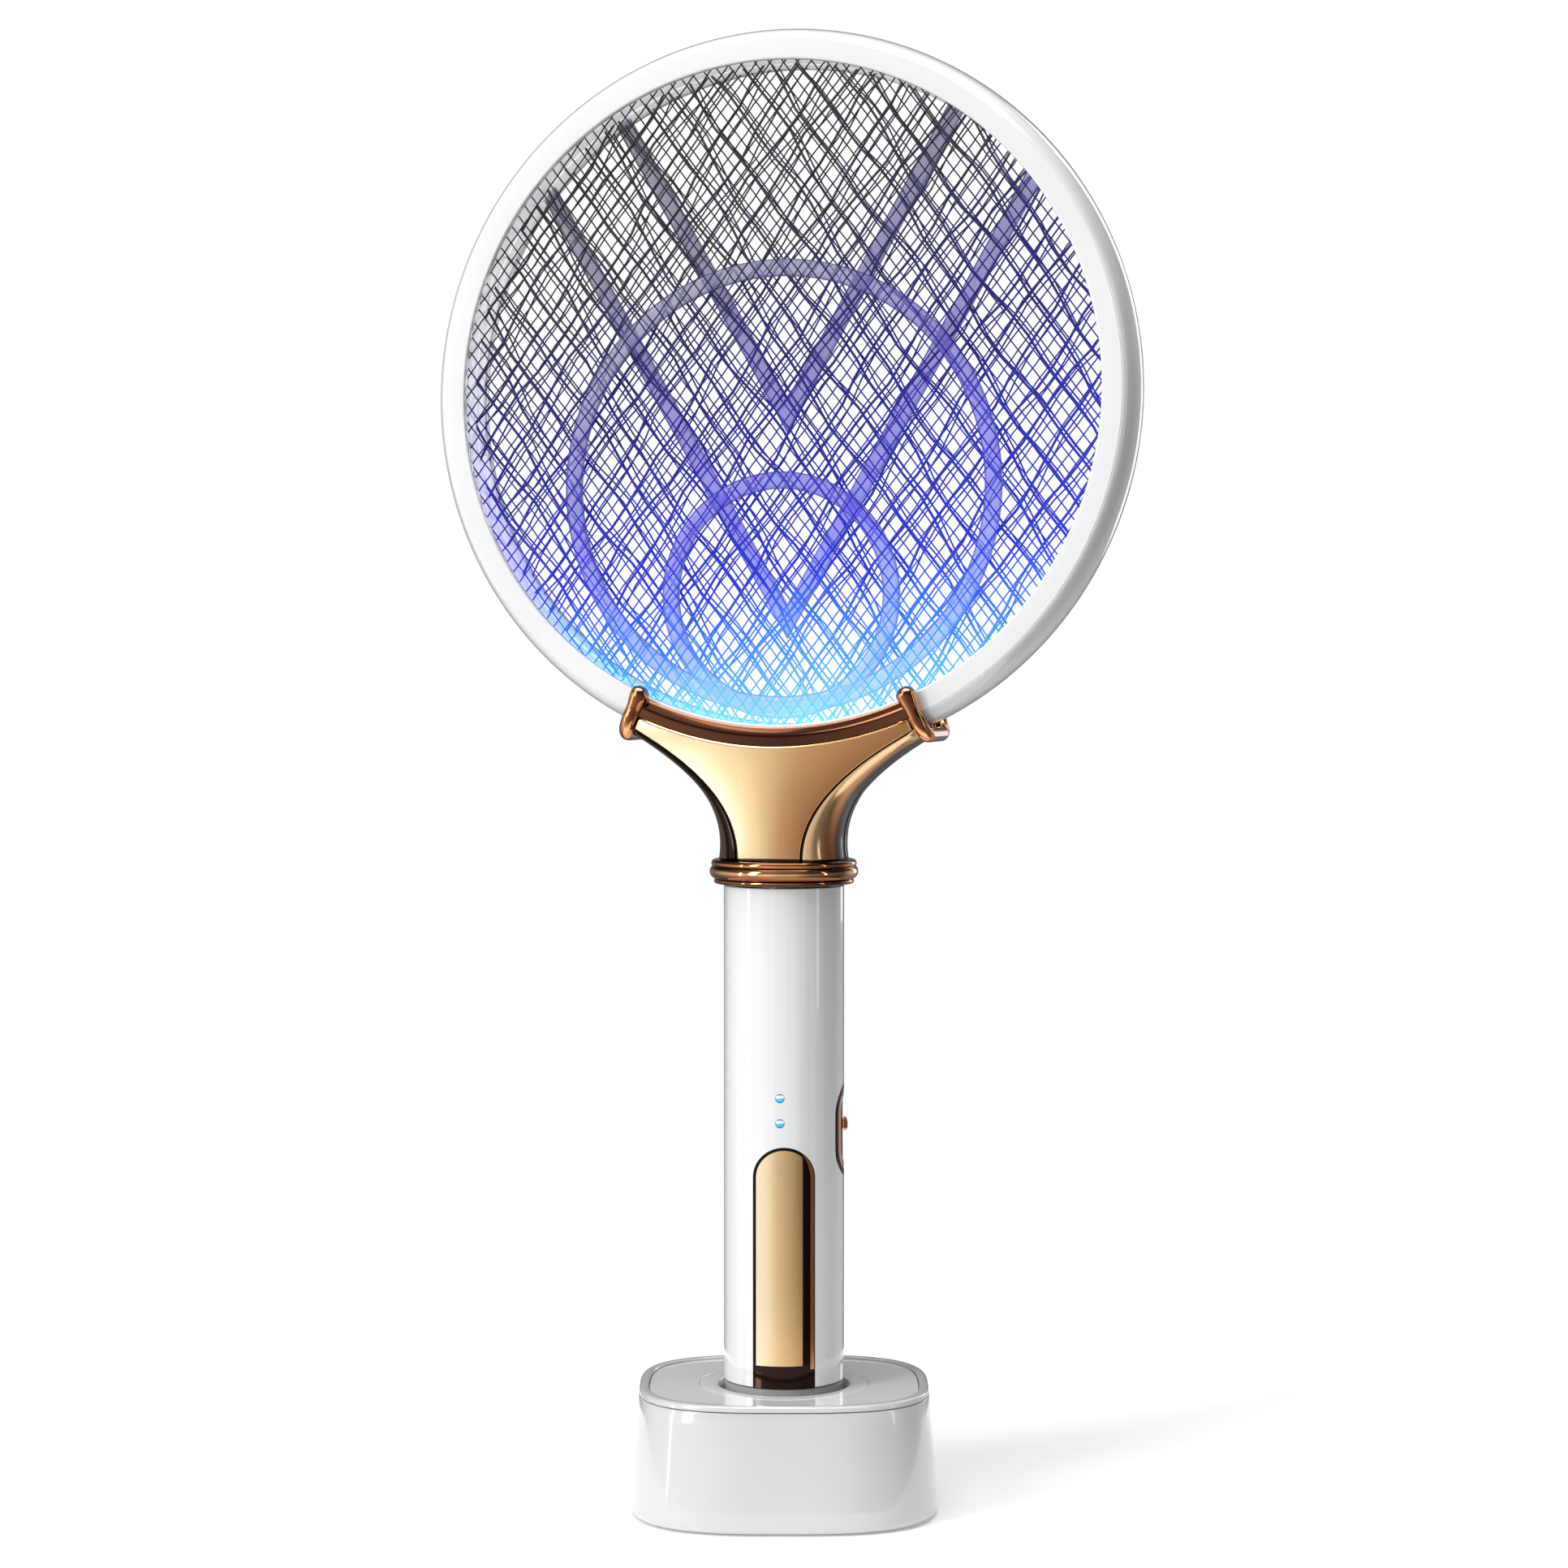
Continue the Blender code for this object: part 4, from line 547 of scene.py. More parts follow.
# %% Screws and feet
def screw(name, radius, height, at, body, node, on_head=False):
    """Domed screw head with a cross recess; it faces down, or to the back if it is on the head."""
    profile = [(0, -height), (radius, -height), (radius, -height * 0.45), (radius * 0.8, -height * 0.1),
               (radius * 0.4, 0), (0, 0)]
    shape = turned(profile, steps=40, loop=False)
    made = show(name, shape, steel, body, [node])
    blocks = []
    for size in ((radius * 1.3, radius * 0.28), (radius * 0.28, radius * 1.3)):
        block = bmesh.new()
        bmesh.ops.create_cube(block, size=1)
        bmesh.ops.scale(block, vec=(*size, height), verts=block.verts)
        blocks.append(block)
    cut_away(made, *blocks)
    facing = Vector((0, 1, 0)) if on_head else Vector((0, 0, -1))
    turn = facing.to_track_quat("Z", "Y").to_matrix().to_4x4()
    turn.translation = at
    if on_head:
        turn = Matrix.Rotation(TURN, 4, "Z") @ turn
    made.data.transform(turn)
    return made


for number in (1, 2):
    node = f"base_screw_{number}"
    at = middle(node)
    at.z = low(node).z
    screw(f"dock_screw_{number}", 2.5 * MM, 0.8 * MM, at, "base", node)
for number in (1, 2, 3, 4):
    node = f"foot_{number}"
    at, top = middle(node), high(node).z
    reach = high(node).x - at.x
    foot = [(0, 0, 0), (reach, 0, 0.35 * MM), (reach, top, 0.15 * MM), (reach - 1 * MM, top, 0), (0, top, 0)]
    shape = turned(softened(foot, 5), (at.x, at.y, 0), steps=64, loop=False)
    show(f"rubber_{node}", shape, rubber, "base", [node])

# %% [markdown]
# The handle is a plain glossy tube. Three windows are cut through its wall, for the trigger, the mode
# switch and the two lights. A cut leaves big flat faces whose shading would dent the reflections, so the
# normals of the wall are set from the axis, which is what a true cylinder has.

# %% Handle tube
def arc(centre, radius, start, end, count):
    """Points of an arc in a plane, from one angle to another."""
    points = []
    for step in range(count + 1):
        angle = start + (end - start) * step / count
        points.append((centre[0] + radius * cos(angle), centre[1] + radius * sin(angle)))
    return points


def arch(half_width, bottom, centre, right=None):
    """Upright outline with a round top; right cuts it off straight on that side."""
    right = half_width if right is None else right
    crown = arc((0, centre), half_width, acos(right / half_width), pi, 48)
    return [(-half_width, bottom), (right, bottom)] + crown


def pill(half_width, half_length, corner, height):
    """Upright outline with large round corners."""
    points = []
    for side_x, side_y, start in ((1, 1, 0), (-1, 1, pi / 2), (-1, -1, pi), (1, -1, 3 * pi / 2)):
        centre = (side_x * (half_width - corner), height + side_y * (half_length - corner))
        points += arc(centre, corner, start, start + pi / 2, 14)
    return points


def prism(outline, near, far, facing_right=False):
    """A cutter: an outline (across, height) carried straight out of the tube's front or right side."""
    rows = []
    for distance in (near, far):
        if facing_right:
            rows.append([(distance, across, height) for across, height in outline])
        else:
            rows.append([(across, -distance, height) for across, height in outline])
    return lofted(rows, caps=True)


def turned_normals(made):
    """Gives the faces that lie on a tube about Z the normals of a true cylinder."""
    mesh = made.data
    normals = [Vector()] * len(mesh.loops)
    for face in mesh.polygons:
        centre = Vector((face.center.x, face.center.y, 0)).normalized()
        on_wall = abs(centre.dot(face.normal)) > 0.985
        sign = copysign(1, centre.dot(face.normal))
        for loop in face.loop_indices:
            place = mesh.vertices[mesh.loops[loop].vertex_index].co
            radial = Vector((place.x, place.y, 0)).normalized() * sign
            normals[loop] = radial if on_wall else face.normal.copy()
    mesh.normals_split_custom_set(normals)


PANEL_HALF = 9.45 * MM
PANEL_APEX = high("trigger_bezel").z - 1.6 * MM + GAP
ARCH_CENTRE = PANEL_APEX - PANEL_HALF
SWITCH_HALF, SWITCH_LONG, SWITCH_CORNER = 9.9 * MM, 14.5 * MM, 9.4 * MM
SWITCH_HEIGHT = middle("switch_bezel").z
LIGHTS = ("indicator_light_1", "indicator_light_2")
tube_inner = TUBE_RADIUS - TUBE_WALL
edge = 0.4 * MM
wall = [(tube_inner, TUBE_TOP, 0), (TUBE_RADIUS, TUBE_TOP, edge), (TUBE_RADIUS, TUBE_BOTTOM, edge),
        (tube_inner, TUBE_BOTTOM, 0)]
tube = show("handle_shell", turned(softened(wall), steps=192), handle_white, "handle",
            ["handle_tube"])
cutters = [prism(arch(PANEL_HALF, TUBE_BOTTOM - 8 * MM, ARCH_CENTRE), 8 * MM, 30 * MM),
           prism(pill(SWITCH_HALF, SWITCH_LONG, SWITCH_CORNER, SWITCH_HEIGHT), 8 * MM, 30 * MM, True)]
for node in LIGHTS:
    at = middle(node)
    hole = arc((at.x, at.z), 1.42 * MM, 0, 2 * pi * 31 / 32, 31)
    cutters.append(prism(hole, 8 * MM, 30 * MM))
cut_away(tube, *cutters)
turned_normals(tube)

# %% [markdown]
# The grey end cap shows only as a fine line under the tube until the swatter is lifted out, when the
# contact pads in its underside can be seen. It is turned, with the pad recesses in its profile.

# %% End cap
CAP_LOW, CAP_HIGH = low("end_cap").z, high("end_cap").z
pad, ring = high("contact_pad_centre"), high("contact_ring")
recess = pad.z + GAP
spigot = TUBE_RADIUS - TUBE_WALL - GAP
shoulder = TUBE_BOTTOM - GAP
cap = [
    (0, recess + 1.3 * MM, 0), (spigot - 2.2 * MM, recess + 1.3 * MM, 0), (spigot - 2.2 * MM, CAP_HIGH, 0),
    (spigot, CAP_HIGH, 0.3 * MM), (spigot, shoulder, 0), (CAP_RADIUS, shoulder, 0.2 * MM),
    (CAP_RADIUS, CAP_LOW, 1.2 * MM), (ring.x + GAP, CAP_LOW, 0.1 * MM), (ring.x + GAP, recess, 0),
    (ring.x - 3.3 * MM, recess, 0), (ring.x - 3.3 * MM, CAP_LOW, 0.1 * MM), (pad.x + GAP, CAP_LOW, 0.1 * MM),
    (pad.x + GAP, recess, 0), (0, recess, 0),
]
show("handle_cap", turned(softened(cap), loop=False), cap_grey, "handle", ["end_cap"])

# %% [markdown]
# The trigger panel is let into the tube's wall. A flat outline is filled, sliced into narrow strips so
# that it can bend, given a thickness, and then pushed back onto the cylinder. The bronze bezel is such a
# plate with a window and the gold trigger is another. Their edges get a small bevel, which draws the
# bright line round a real pressed part.

# %% Plates that follow the tube
def softly_edged(made, width, segments=3):
    """Rounds the true edges of a piece."""
    bevel = made.modifiers.new("soft_edges", "BEVEL")
    bevel.width = width
    bevel.segments = segments
    bevel.limit_method = "ANGLE"
    bevel.angle_limit = radians(40)
    bevel.harden_normals = True
    return made


def wrapped(outlines, inner, outer, facing_right=False, strip=0.4 * MM):
    """A plate between two radii of the tube; the first outline is its edge, any others are windows."""
    shape = bmesh.new()
    for outline in outlines:
        made = [shape.verts.new((across, 0, height)) for across, height in outline]
        for first, second in zip(made, made[1:] + made[:1]):
            shape.edges.new((first, second))
    bmesh.ops.triangle_fill(shape, edges=shape.edges[:], use_beauty=True)
    cuts = int(TUBE_RADIUS / strip)
    for number in range(-cuts, cuts + 1):
        everything = shape.verts[:] + shape.edges[:] + shape.faces[:]
        bmesh.ops.bisect_plane(shape, geom=everything, dist=1e-7, plane_co=(number * strip, 0, 0),
                               plane_no=(1, 0, 0))
    back = shape.verts[:]
    grown = bmesh.ops.extrude_face_region(shape, geom=shape.faces[:])["geom"]
    front = [item for item in grown if isinstance(item, bmesh.types.BMVert)]
    for verts, radius in ((back, inner), (front, outer)):
        for vert in verts:
            vert.co.y = -sqrt(radius ** 2 - vert.co.x ** 2)
    if facing_right:
        for vert in shape.verts:
            vert.co = (-vert.co.y, vert.co.x, vert.co.z)
    bmesh.ops.recalc_face_normals(shape, faces=shape.faces)
    return shape


TRIGGER_HALF = -low("trigger_bar").x
TRIGGER_RIGHT = high("trigger_bar").x
TRIGGER_LOW = low("trigger_bar").z
OUTLINE = 0.45 * MM
PLAY = 0.1 * MM
face_half = TRIGGER_HALF - OUTLINE
bezel_edge = arch(PANEL_HALF - 0.08 * MM, TUBE_BOTTOM, ARCH_CENTRE)
window = arch(face_half + PLAY, TRIGGER_LOW - PLAY, ARCH_CENTRE, TRIGGER_RIGHT + PLAY)
surround = wrapped([bezel_edge, window], tube_inner, TUBE_RADIUS + 0.02 * MM)
softly_edged(show("trigger_surround", surround, bezel_bronze, "handle", ["trigger_bezel"]),
             0.12 * MM, 2)
outline = arch(face_half, TRIGGER_LOW, ARCH_CENTRE, TRIGGER_RIGHT)
plate = wrapped([outline], tube_inner, TUBE_RADIUS + 0.1 * MM)
softly_edged(show("trigger_face", plate, trigger_gold, "trigger", ["trigger_bar"]), 0.25 * MM)

# %% [markdown]
# The copper strip beside the trigger is a painted highlight, where the panel's edge bevel catches the
# light. It is a thin sickle: straight beside the trigger, then thinning to a point as it follows the
# arch. Its outer side is part of a circle, and its inner side is the same circle drawn in by a width
# that shrinks along the way.

# %% Copper strip beside the trigger, a painted highlight
HIGHLIGHT_WIDTH, HIGHLIGHT_STEPS = 1.15 * MM, 24
right_edge = PANEL_HALF - 0.25 * MM
highlight_low = TRIGGER_LOW - 1.2 * MM
tip = radians(52)
sickle = [(right_edge, highlight_low)] + arc((0, ARCH_CENTRE), right_edge, 0, tip, HIGHLIGHT_STEPS)
for step in range(HIGHLIGHT_STEPS + 1):
    angle = tip * (1 - step / HIGHLIGHT_STEPS)
    radius = right_edge - HIGHLIGHT_WIDTH * min(1.0, 0.12 + 1.4 * (1 - angle / tip))
    sickle.append((radius * cos(angle), ARCH_CENTRE + radius * sin(angle)))
sickle.append((right_edge - HIGHLIGHT_WIDTH, highlight_low))
plate = wrapped([sickle], TUBE_RADIUS - 0.5 * MM, TUBE_RADIUS + 0.08 * MM, strip=0.2 * MM)
# The copper sickle is a painted highlight along the panel's edge.
show("trigger_edge_highlight", plate, copper, "handle")

# %% [markdown]
# The battery lights are the ends of two light pipes, clear domes that glow cyan below, with a pale band
# near the top that is a painted highlight. The glow is an emission colour that follows the height within
# each dome, so one finish serves both lights.

# %% Indicator lights
indicator_blue = Finish("indicator_blue", {"Roughness": 0.05, "Coat Weight": 1.0, "Emission Strength": 0.3})
LIGHT_LOW, LIGHT_HIGH = middle(LIGHTS[0]).z, middle(LIGHTS[1]).z
LIGHT_RADIUS = 1.3 * MM
share = (indicator_blue.along("Z") - LIGHT_LOW + LIGHT_RADIUS)
share = share.maths("MODULO", share, LIGHT_HIGH - LIGHT_LOW) / (2 * LIGHT_RADIUS)
# The pale band in this ramp is a painted highlight.
cyan, painted_highlight_blue, violet = (0.02, 0.48, 0.85), (0.85, 0.93, 1.0), (0.20, 0.22, 0.70)
glow = indicator_blue.ramp(share, [(0.1, (0.01, 0.32, 0.80)), (0.45, cyan), (0.62, painted_highlight_blue),
                                   (0.74, painted_highlight_blue), (0.88, violet)])
indicator_blue.feed("Base Color", glow)
indicator_blue.feed("Emission Color", glow)
for number, node in enumerate(LIGHTS, 1):
    at = middle(node)
    face_y = -sqrt(TUBE_RADIUS ** 2 - at.x ** 2)
    profile = [(0, -9 * MM), (LIGHT_RADIUS, -9 * MM)]
    for radius, height in arc((0, 0), 1, 0, pi / 2, 12):
        profile.append((LIGHT_RADIUS * radius, 0.75 * MM * height - 0.1 * MM))
    dome = turned(profile, (at.x, face_y + 0.3 * MM, at.z), True, 48, False)
    show(f"light_dome_{number}", dome, indicator_blue, "handle", [node])

# %% [markdown]
# The mode switch sits on the handle's right side: a black pill with a copper frame laid in its recess
# and a copper slider with a raised nub. Its printed symbols are left off.

# %% Mode switch
def switch_outline(inset):
    return pill(SWITCH_HALF - inset, SWITCH_LONG - inset, SWITCH_CORNER - inset, SWITCH_HEIGHT)


BORDER, FRAME_BAND, RECESS = 1.9 * MM, 2.2 * MM, 0.4 * MM
SLIDER_HALF, SLIDER_TRAVEL = 1.5 * MM, 4.0 * MM
switch_floor = TUBE_RADIUS - RECESS
slider_middle = middle("switch_slider").z
border = wrapped([switch_outline(0.08 * MM), switch_outline(BORDER)], tube_inner, TUBE_RADIUS, True)
softly_edged(show("switch_border", border, gloss_black, "handle", ["switch_bezel"]), 0.25 * MM)
way = pill(SLIDER_HALF, SLIDER_TRAVEL + SLIDER_HALF + GAP, 1.4 * MM, slider_middle)
floor_plate = wrapped([switch_outline(BORDER - 0.3 * MM), way], tube_inner, switch_floor, True)
show("switch_floor", floor_plate, gloss_black, "handle")
band = wrapped([switch_outline(BORDER + 0.1 * MM), switch_outline(BORDER + FRAME_BAND)],
               switch_floor - 0.8 * MM, TUBE_RADIUS - 0.1 * MM, True)
softly_edged(show("switch_trim", band, copper, "handle", ["switch_frame"]), 0.3 * MM)

# %% [markdown]
# The nub is a loft of rounded rectangles: a narrow stem that runs in the slot, a head above the floor,
# and a top that draws in over four rows.

# %% Slider nub
NUB_HALF, NUB_TALL = 2.6 * MM, 2.1 * MM
nub_out = high("switch_slider").x
stem_half, stem_tall = NUB_HALF - 1.35 * MM, NUB_TALL - 0.65 * MM
rows = []


def nub_row(distance, half, tall, corner):
    rows.append([(distance, y, slider_middle + z) for y, z in pill(half, tall, corner, 0)])


nub_row(tube_inner - 2.2 * MM, stem_half, stem_tall, 0.4 * MM)
nub_row(switch_floor + 0.3 * MM, stem_half, stem_tall, 0.4 * MM)
for distance, shrink in ((switch_floor + 0.3 * MM, 0.0), (nub_out - 0.9 * MM, 0.1),
                         (nub_out - 0.4 * MM, 0.35), (nub_out - 0.1 * MM, 0.8), (nub_out, 1.3)):
    inset = shrink * MM
    nub_row(distance, NUB_HALF - inset, NUB_TALL - inset, max(1.2 * MM - inset * 0.6, 0.3 * MM))
show("switch_nub", lofted(rows, caps=True), copper, "slider", ["switch_slider"])

# %% [markdown]
# The head starts with the collar that hides the swivel. It is a stack of three plated beads, a thin one,
# a fat one and a fine lip. Its plating carries painted bands over its height: painted shade as dark lines
# in the grooves between the beads and painted highlights in orange and gold on them, which make it read as
# a turned metal ring. One profile is turned about the handle's axis.

# %% Neck collar
def painted_band_plating():
    """Copper plating with painted bands over its height: painted shade in the grooves between the collar's
    beads, painted highlights on the beads.
    """
    finish = Finish("collar_copper", {"Metallic": 1.0, "Coat Weight": 0.3, "Coat Roughness": 0.03}, True)
    share = (finish.along("Z") - bead_height + BEAD) / (2 * BEAD)
    orange, gold = (1.0, 0.42, 0.14), (1.0, 0.72, 0.42)
    # Painted shade as dark bands in the grooves, painted highlights as orange and gold bands on the beads.
    stops = [(0.0, PAINTED_DARK), (0.08, (0.10, 0.03, 0.01)), (0.14, orange), (0.2, (0.08, 0.02, 0.008)),
             (0.3, (0.26, 0.08, 0.025)), (0.42, (0.6, 0.22, 0.07)), (0.5, gold), (0.58, orange),
             (0.67, (0.10, 0.03, 0.01)), (0.76, (0.05, 0.014, 0.005)), (0.83, orange),
             (0.92, (0.30, 0.10, 0.03)), (1.0, PAINTED_DARK)]
    tint = finish.ramp(share, stops)
    cloud = finish.ramp(finish.noise(70.0, 3.0), [(0.35, (0.55, 0.5, 0.45)), (0.6, (1, 1, 1))])
    finish.feed("Base Color", finish.mix(0.6, tint, finish.mix(1.0, tint, cloud, "MULTIPLY")))
    finish.feed("Roughness", finish.noise(240.0, 4.0) * 0.06 + 0.05)
    return finish


def facing_painted_plating():
    """Copper plating with painted reflections by facing: painted dark where it faces the eye, painted bright
    highlights along its flanks.
    """
    finish = Finish("ferrule_copper", {"Metallic": 1.0, "Coat Weight": 0.4, "Coat Roughness": 0.03}, True)
    facing = finish.add("ShaderNodeLayerWeight", {}, {"Blend": 0.5}, "Facing")
    # Painted reflection: the tint follows how squarely the surface faces the eye.
    stops = [(0.0, (0.12, 0.035, 0.012)), (0.1, (0.30, 0.09, 0.03)), (0.25, (1.0, 0.50, 0.22)),
             (0.5, (0.75, 0.28, 0.09)), (0.8, (0.22, 0.07, 0.02)), (1.0, (0.05, 0.015, 0.005))]
    finish.feed("Base Color", finish.ramp(facing + finish.noise(120.0, 2.0) * 0.1 - 0.05, stops))
    finish.feed("Roughness", finish.noise(240.0, 4.0) * 0.06 + 0.06)
    return finish


BEAD = 3.7 * MM
BEAD_RADIUS = high("neck_collar").x
bead_height = low("neck_collar").z + BEAD
collar_top = high("neck_collar").z
sleeve_inner = 11.8 * MM
upper, lower, lip = 1.15 * MM, 2.25 * MM, 0.75 * MM
profile = [(sleeve_inner, collar_top), (sleeve_inner + 2.1 * MM, collar_top),
           (sleeve_inner + 2.1 * MM, bead_height + BEAD)]
heights = (bead_height + BEAD - upper, bead_height - 0.05 * MM, bead_height - BEAD + lip)
for at_height, size, draw_in in zip(heights, (upper, lower, lip), (0.5 * MM, 0.0, 1.3 * MM)):
    centre = (BEAD_RADIUS - draw_in - size, at_height)
    profile += arc(centre, size, pi / 2, -pi / 2, 18)
    profile.append((BEAD_RADIUS - 2.9 * MM, at_height - size))
profile += [(sleeve_inner, bead_height - BEAD)]
show("collar_bead", turned(profile), painted_band_plating(), "head", ["neck_collar"])

# %% [markdown]
# The throat grows from the round neck into the saddle under the ring. It is a loft: each row is one
# outline of the half shell, a nearly flat face, a fine crease painted dark as painted shade, and a
# rounded cheek. The rows are spaced so that the last one follows the ring, which saves cutting the shell
# afterwards. Front and rear shells meet at a seam in the middle.

# %% Throat outline
RING_HALF = 11.0 * MM
FERRULE = 2.6 * MM
FERRULE_ANGLE = radians(24.7)
BAND_IN, BAND_OUT = MESH_RADIUS + 1.1 * MM, MESH_RADIUS + 6.6 * MM
EDGE_ANGLE = FERRULE_ANGLE - 0.5 * FERRULE / BAND_IN
FLARE_CURVE, CHEEK, CHEEK_GROWS = 2.15, 6.3 * MM, 3.5 * MM
THROAT_DEPTH = RING_HALF + 2.5 * MM
THROAT_LOW = low("throat_front").z
NECK, FACE_NECK = TUBE_RADIUS + 1 * MM, 9.7 * MM
FLARE_TOP = HEAD_HEIGHT - MESH_RADIUS - 2 * GAP
FLARE = tan(EDGE_ANGLE) * (HEAD_HEIGHT - FLARE_TOP) + 0.6 * MM - FACE_NECK


def smooth_step(value):
    value = min(1.0, max(0.0, value))
    return value * value * (3 - 2 * value)


def throat_sizes(height):
    """Half width of the face, half width and half depth of the throat at a height."""
    rise = (height - THROAT_LOW) / (FLARE_TOP - THROAT_LOW)
    limit = tan(EDGE_ANGLE) * (HEAD_HEIGHT - height)
    cheek = CHEEK + CHEEK_GROWS * max(0.0, 1 - 2 * rise)
    face = min(FACE_NECK + FLARE * max(rise, 0.0) ** FLARE_CURVE, limit - 1.6 * MM)
    neck_depth = sqrt(NECK ** 2 - FACE_NECK ** 2)
    return face, min(face + cheek, limit), neck_depth + (THROAT_DEPTH - neck_depth) * smooth_step(rise)


print("throat widens from", round(2 * FACE_NECK / MM, 1), "to", round(2 * (FACE_NECK + FLARE) / MM, 1), "mm")

# %% [markdown]
# The plating of the throat carries painted reflections and painted shade: a champagne highlight on the
# face, a fine crease painted dark, and deep copper and nearly black bands on the cheeks. The painting has
# to follow the flare, so the same width formula that shapes the shell is written again as shader sums:
# it says how far across the face or the cheek a point lies, whatever its height.

# %% Throat plating
def throat_plating():
    finish = Finish("throat_gold", {"Metallic": 1.0, "Coat Weight": 0.2, "Coat Roughness": 0.05}, True)
    height = finish.along("Z")
    rise = (height - THROAT_LOW) / (FLARE_TOP - THROAT_LOW)
    rise = rise.maths("MAXIMUM", rise, 0.0)
    limit = (HEAD_HEIGHT - height) * tan(EDGE_ANGLE) - 1.6 * MM
    face = rise.maths("POWER", rise, FLARE_CURVE) * FLARE + FACE_NECK
    face = face.maths("MINIMUM", face, limit)
    across = finish.along("X")
    on_face = (across / face).within(-1.0, 1.0)
    past = across.maths("ABSOLUTE", across) - face
    cheek = rise * -CHEEK_GROWS * 2 + CHEEK + CHEEK_GROWS
    cheek = cheek.maths("MAXIMUM", cheek, CHEEK)
    on_cheek = (past / cheek).within(0.0, 1.0)
    side = across.maths("SIGN", across)
    share = on_face * 0.25 + on_cheek * side * 0.25 + 0.5
    # Painted reflections and painted shade: dark and brown bands on the left cheek, a highlight fading to
    # copper across the face, cream, orange and black bands on the right cheek.
    left_cheek_painted = [(0.0, PAINTED_DARK), (0.06, (0.05, 0.02, 0.01)), (0.09, (0.30, 0.12, 0.05)),
                  (0.13, (0.26, 0.10, 0.04)), (0.15, PAINTED_DARK), (0.245, PAINTED_DARK)]
    face_painted_sweep = [(0.255, (0.92, 0.74, 0.48)), (0.42, (0.86, 0.62, 0.33)), (0.58, (0.55, 0.30, 0.13)),
                     (0.745, (0.36, 0.16, 0.06))]
    right_cheek_painted = [(0.757, (1.0, 0.66, 0.36)), (0.88, (1.0, 0.64, 0.34)), (0.945, (0.90, 0.40, 0.15)),
                   (0.97, (0.45, 0.14, 0.04)), (0.982, PAINTED_DARK), (1.0, PAINTED_DARK)]
    finish.feed("Base Color", cloudy(finish, finish.ramp(share, left_cheek_painted + face_painted_sweep + right_cheek_painted)))
    finish.feed("Roughness", finish.noise(240.0, 2.0, (1, 1, 0.15)) * 0.03 + 0.18)
    finish.bump(finish.noise(120.0, 1.0), 0.2, 0.000002)
    return finish


throat_gold = throat_plating()
print("throat plating:", len(throat_gold.tree.nodes), "nodes")

# %% [markdown]
# Each row of the shell runs from the seam up the right cheek, over the crease, across the face and down
# the left cheek. The highest row must end on the ring, but how far up that is depends on how wide the
# throat is there, so a few rounds of guessing settle each column's height.

# %% Throat shells
CHEEK_STEPS, FACE_STEPS, LEVELS = 16, 24, 44
SETTLE = 12
CREASE = 0.5 * MM
columns = [("cheek", 1, step / CHEEK_STEPS) for step in range(CHEEK_STEPS + 1)]
columns += [("crease", 1, 0.25), ("crease", 1, 0.75)]
columns += [("face", 1, 1 - 2 * step / FACE_STEPS) for step in range(FACE_STEPS + 1)]
columns += [("crease", -1, 0.75), ("crease", -1, 0.25)]
columns += [("cheek", -1, step / CHEEK_STEPS) for step in range(CHEEK_STEPS, -1, -1)]


def throat_place(part, side, value, height):
    """Place across and out of the seam, for one column at a height."""
    face, half, depth = throat_sizes(height)
    if part == "face":
        return face * value, depth - 0.1 * MM + 1.1 * MM * (1 - value * value) * (face / 40 / MM)
    if part == "crease":
        return side * (face + 2 * CREASE * (1 - value)), depth - 0.9 * MM
    angle = value * pi / 2
    start = face + 2 * CREASE
    across = start + (half - start) * cos(angle)
    return side * across, GAP / 2 + (depth - 0.15 * MM - GAP / 2) * sin(angle)


def throat_shell(side):
    """Half shell: side -1 is the front, 1 the rear."""
    shape = bmesh.new()
    rows = []
    for level in range(LEVELS + 1):
        row = []
        for column in columns:
            height = THROAT_LOW
            for _ in range(SETTLE):
                across, out = throat_place(*column, height)
                over_ring = smooth_step((out - RING_HALF + 0.2 * MM) / (0.9 * MM))
                radius = (RING_RADIUS + GAP) * (1 - over_ring) + (BAND_OUT + 0.1 * MM) * over_ring
                top = HEAD_HEIGHT - sqrt(radius ** 2 - across ** 2)
                height = THROAT_LOW + (top - THROAT_LOW) * level / LEVELS
            across, out = throat_place(*column, height)
            row.append(shape.verts.new((across, side * out, height)))
        rows.append(row)
    for lower, upper in zip(rows, rows[1:]):
        for index in range(len(columns) - 1):
            corners = [lower[index], lower[index + 1], upper[index + 1], upper[index]]
            face = shape.faces.new(corners if side > 0 else corners[::-1])
            # Crease faces take the near-black bronze: painted shade in the crease.
            face.material_index = int("crease" in (columns[index][0], columns[index + 1][0]))
    return shape


for name, side in (("front", -1), ("rear", 1)):
    made = show(f"throat_shell_{name}", throat_shell(side), throat_gold, "head",
                [f"throat_{name}"], True, 40)
    made.data.materials.append(bezel_bronze.material)
    wall = made.modifiers.new("wall", "SOLIDIFY")
    wall.thickness = 1.2 * MM
    wall.offset = -1

# %% [markdown]
# A dark bronze band lines the saddle next to the mesh, with a hair-fine copper edge. Both follow the
# ring, so both are a small section carried along an arc that stops at the ferrules.

# %% Saddle bands
def carried(section, reach, steps=72):
    """A section (radius, height to the front) carried round the ring's lowest part."""
    rows = []
    for step in range(steps + 1):
        angle = -reach + 2 * reach * step / steps
        rows.append([(radius * sin(angle), -height, HEAD_HEIGHT - radius * cos(angle))
                     for radius, height in section])
    return lofted(rows, caps=True)


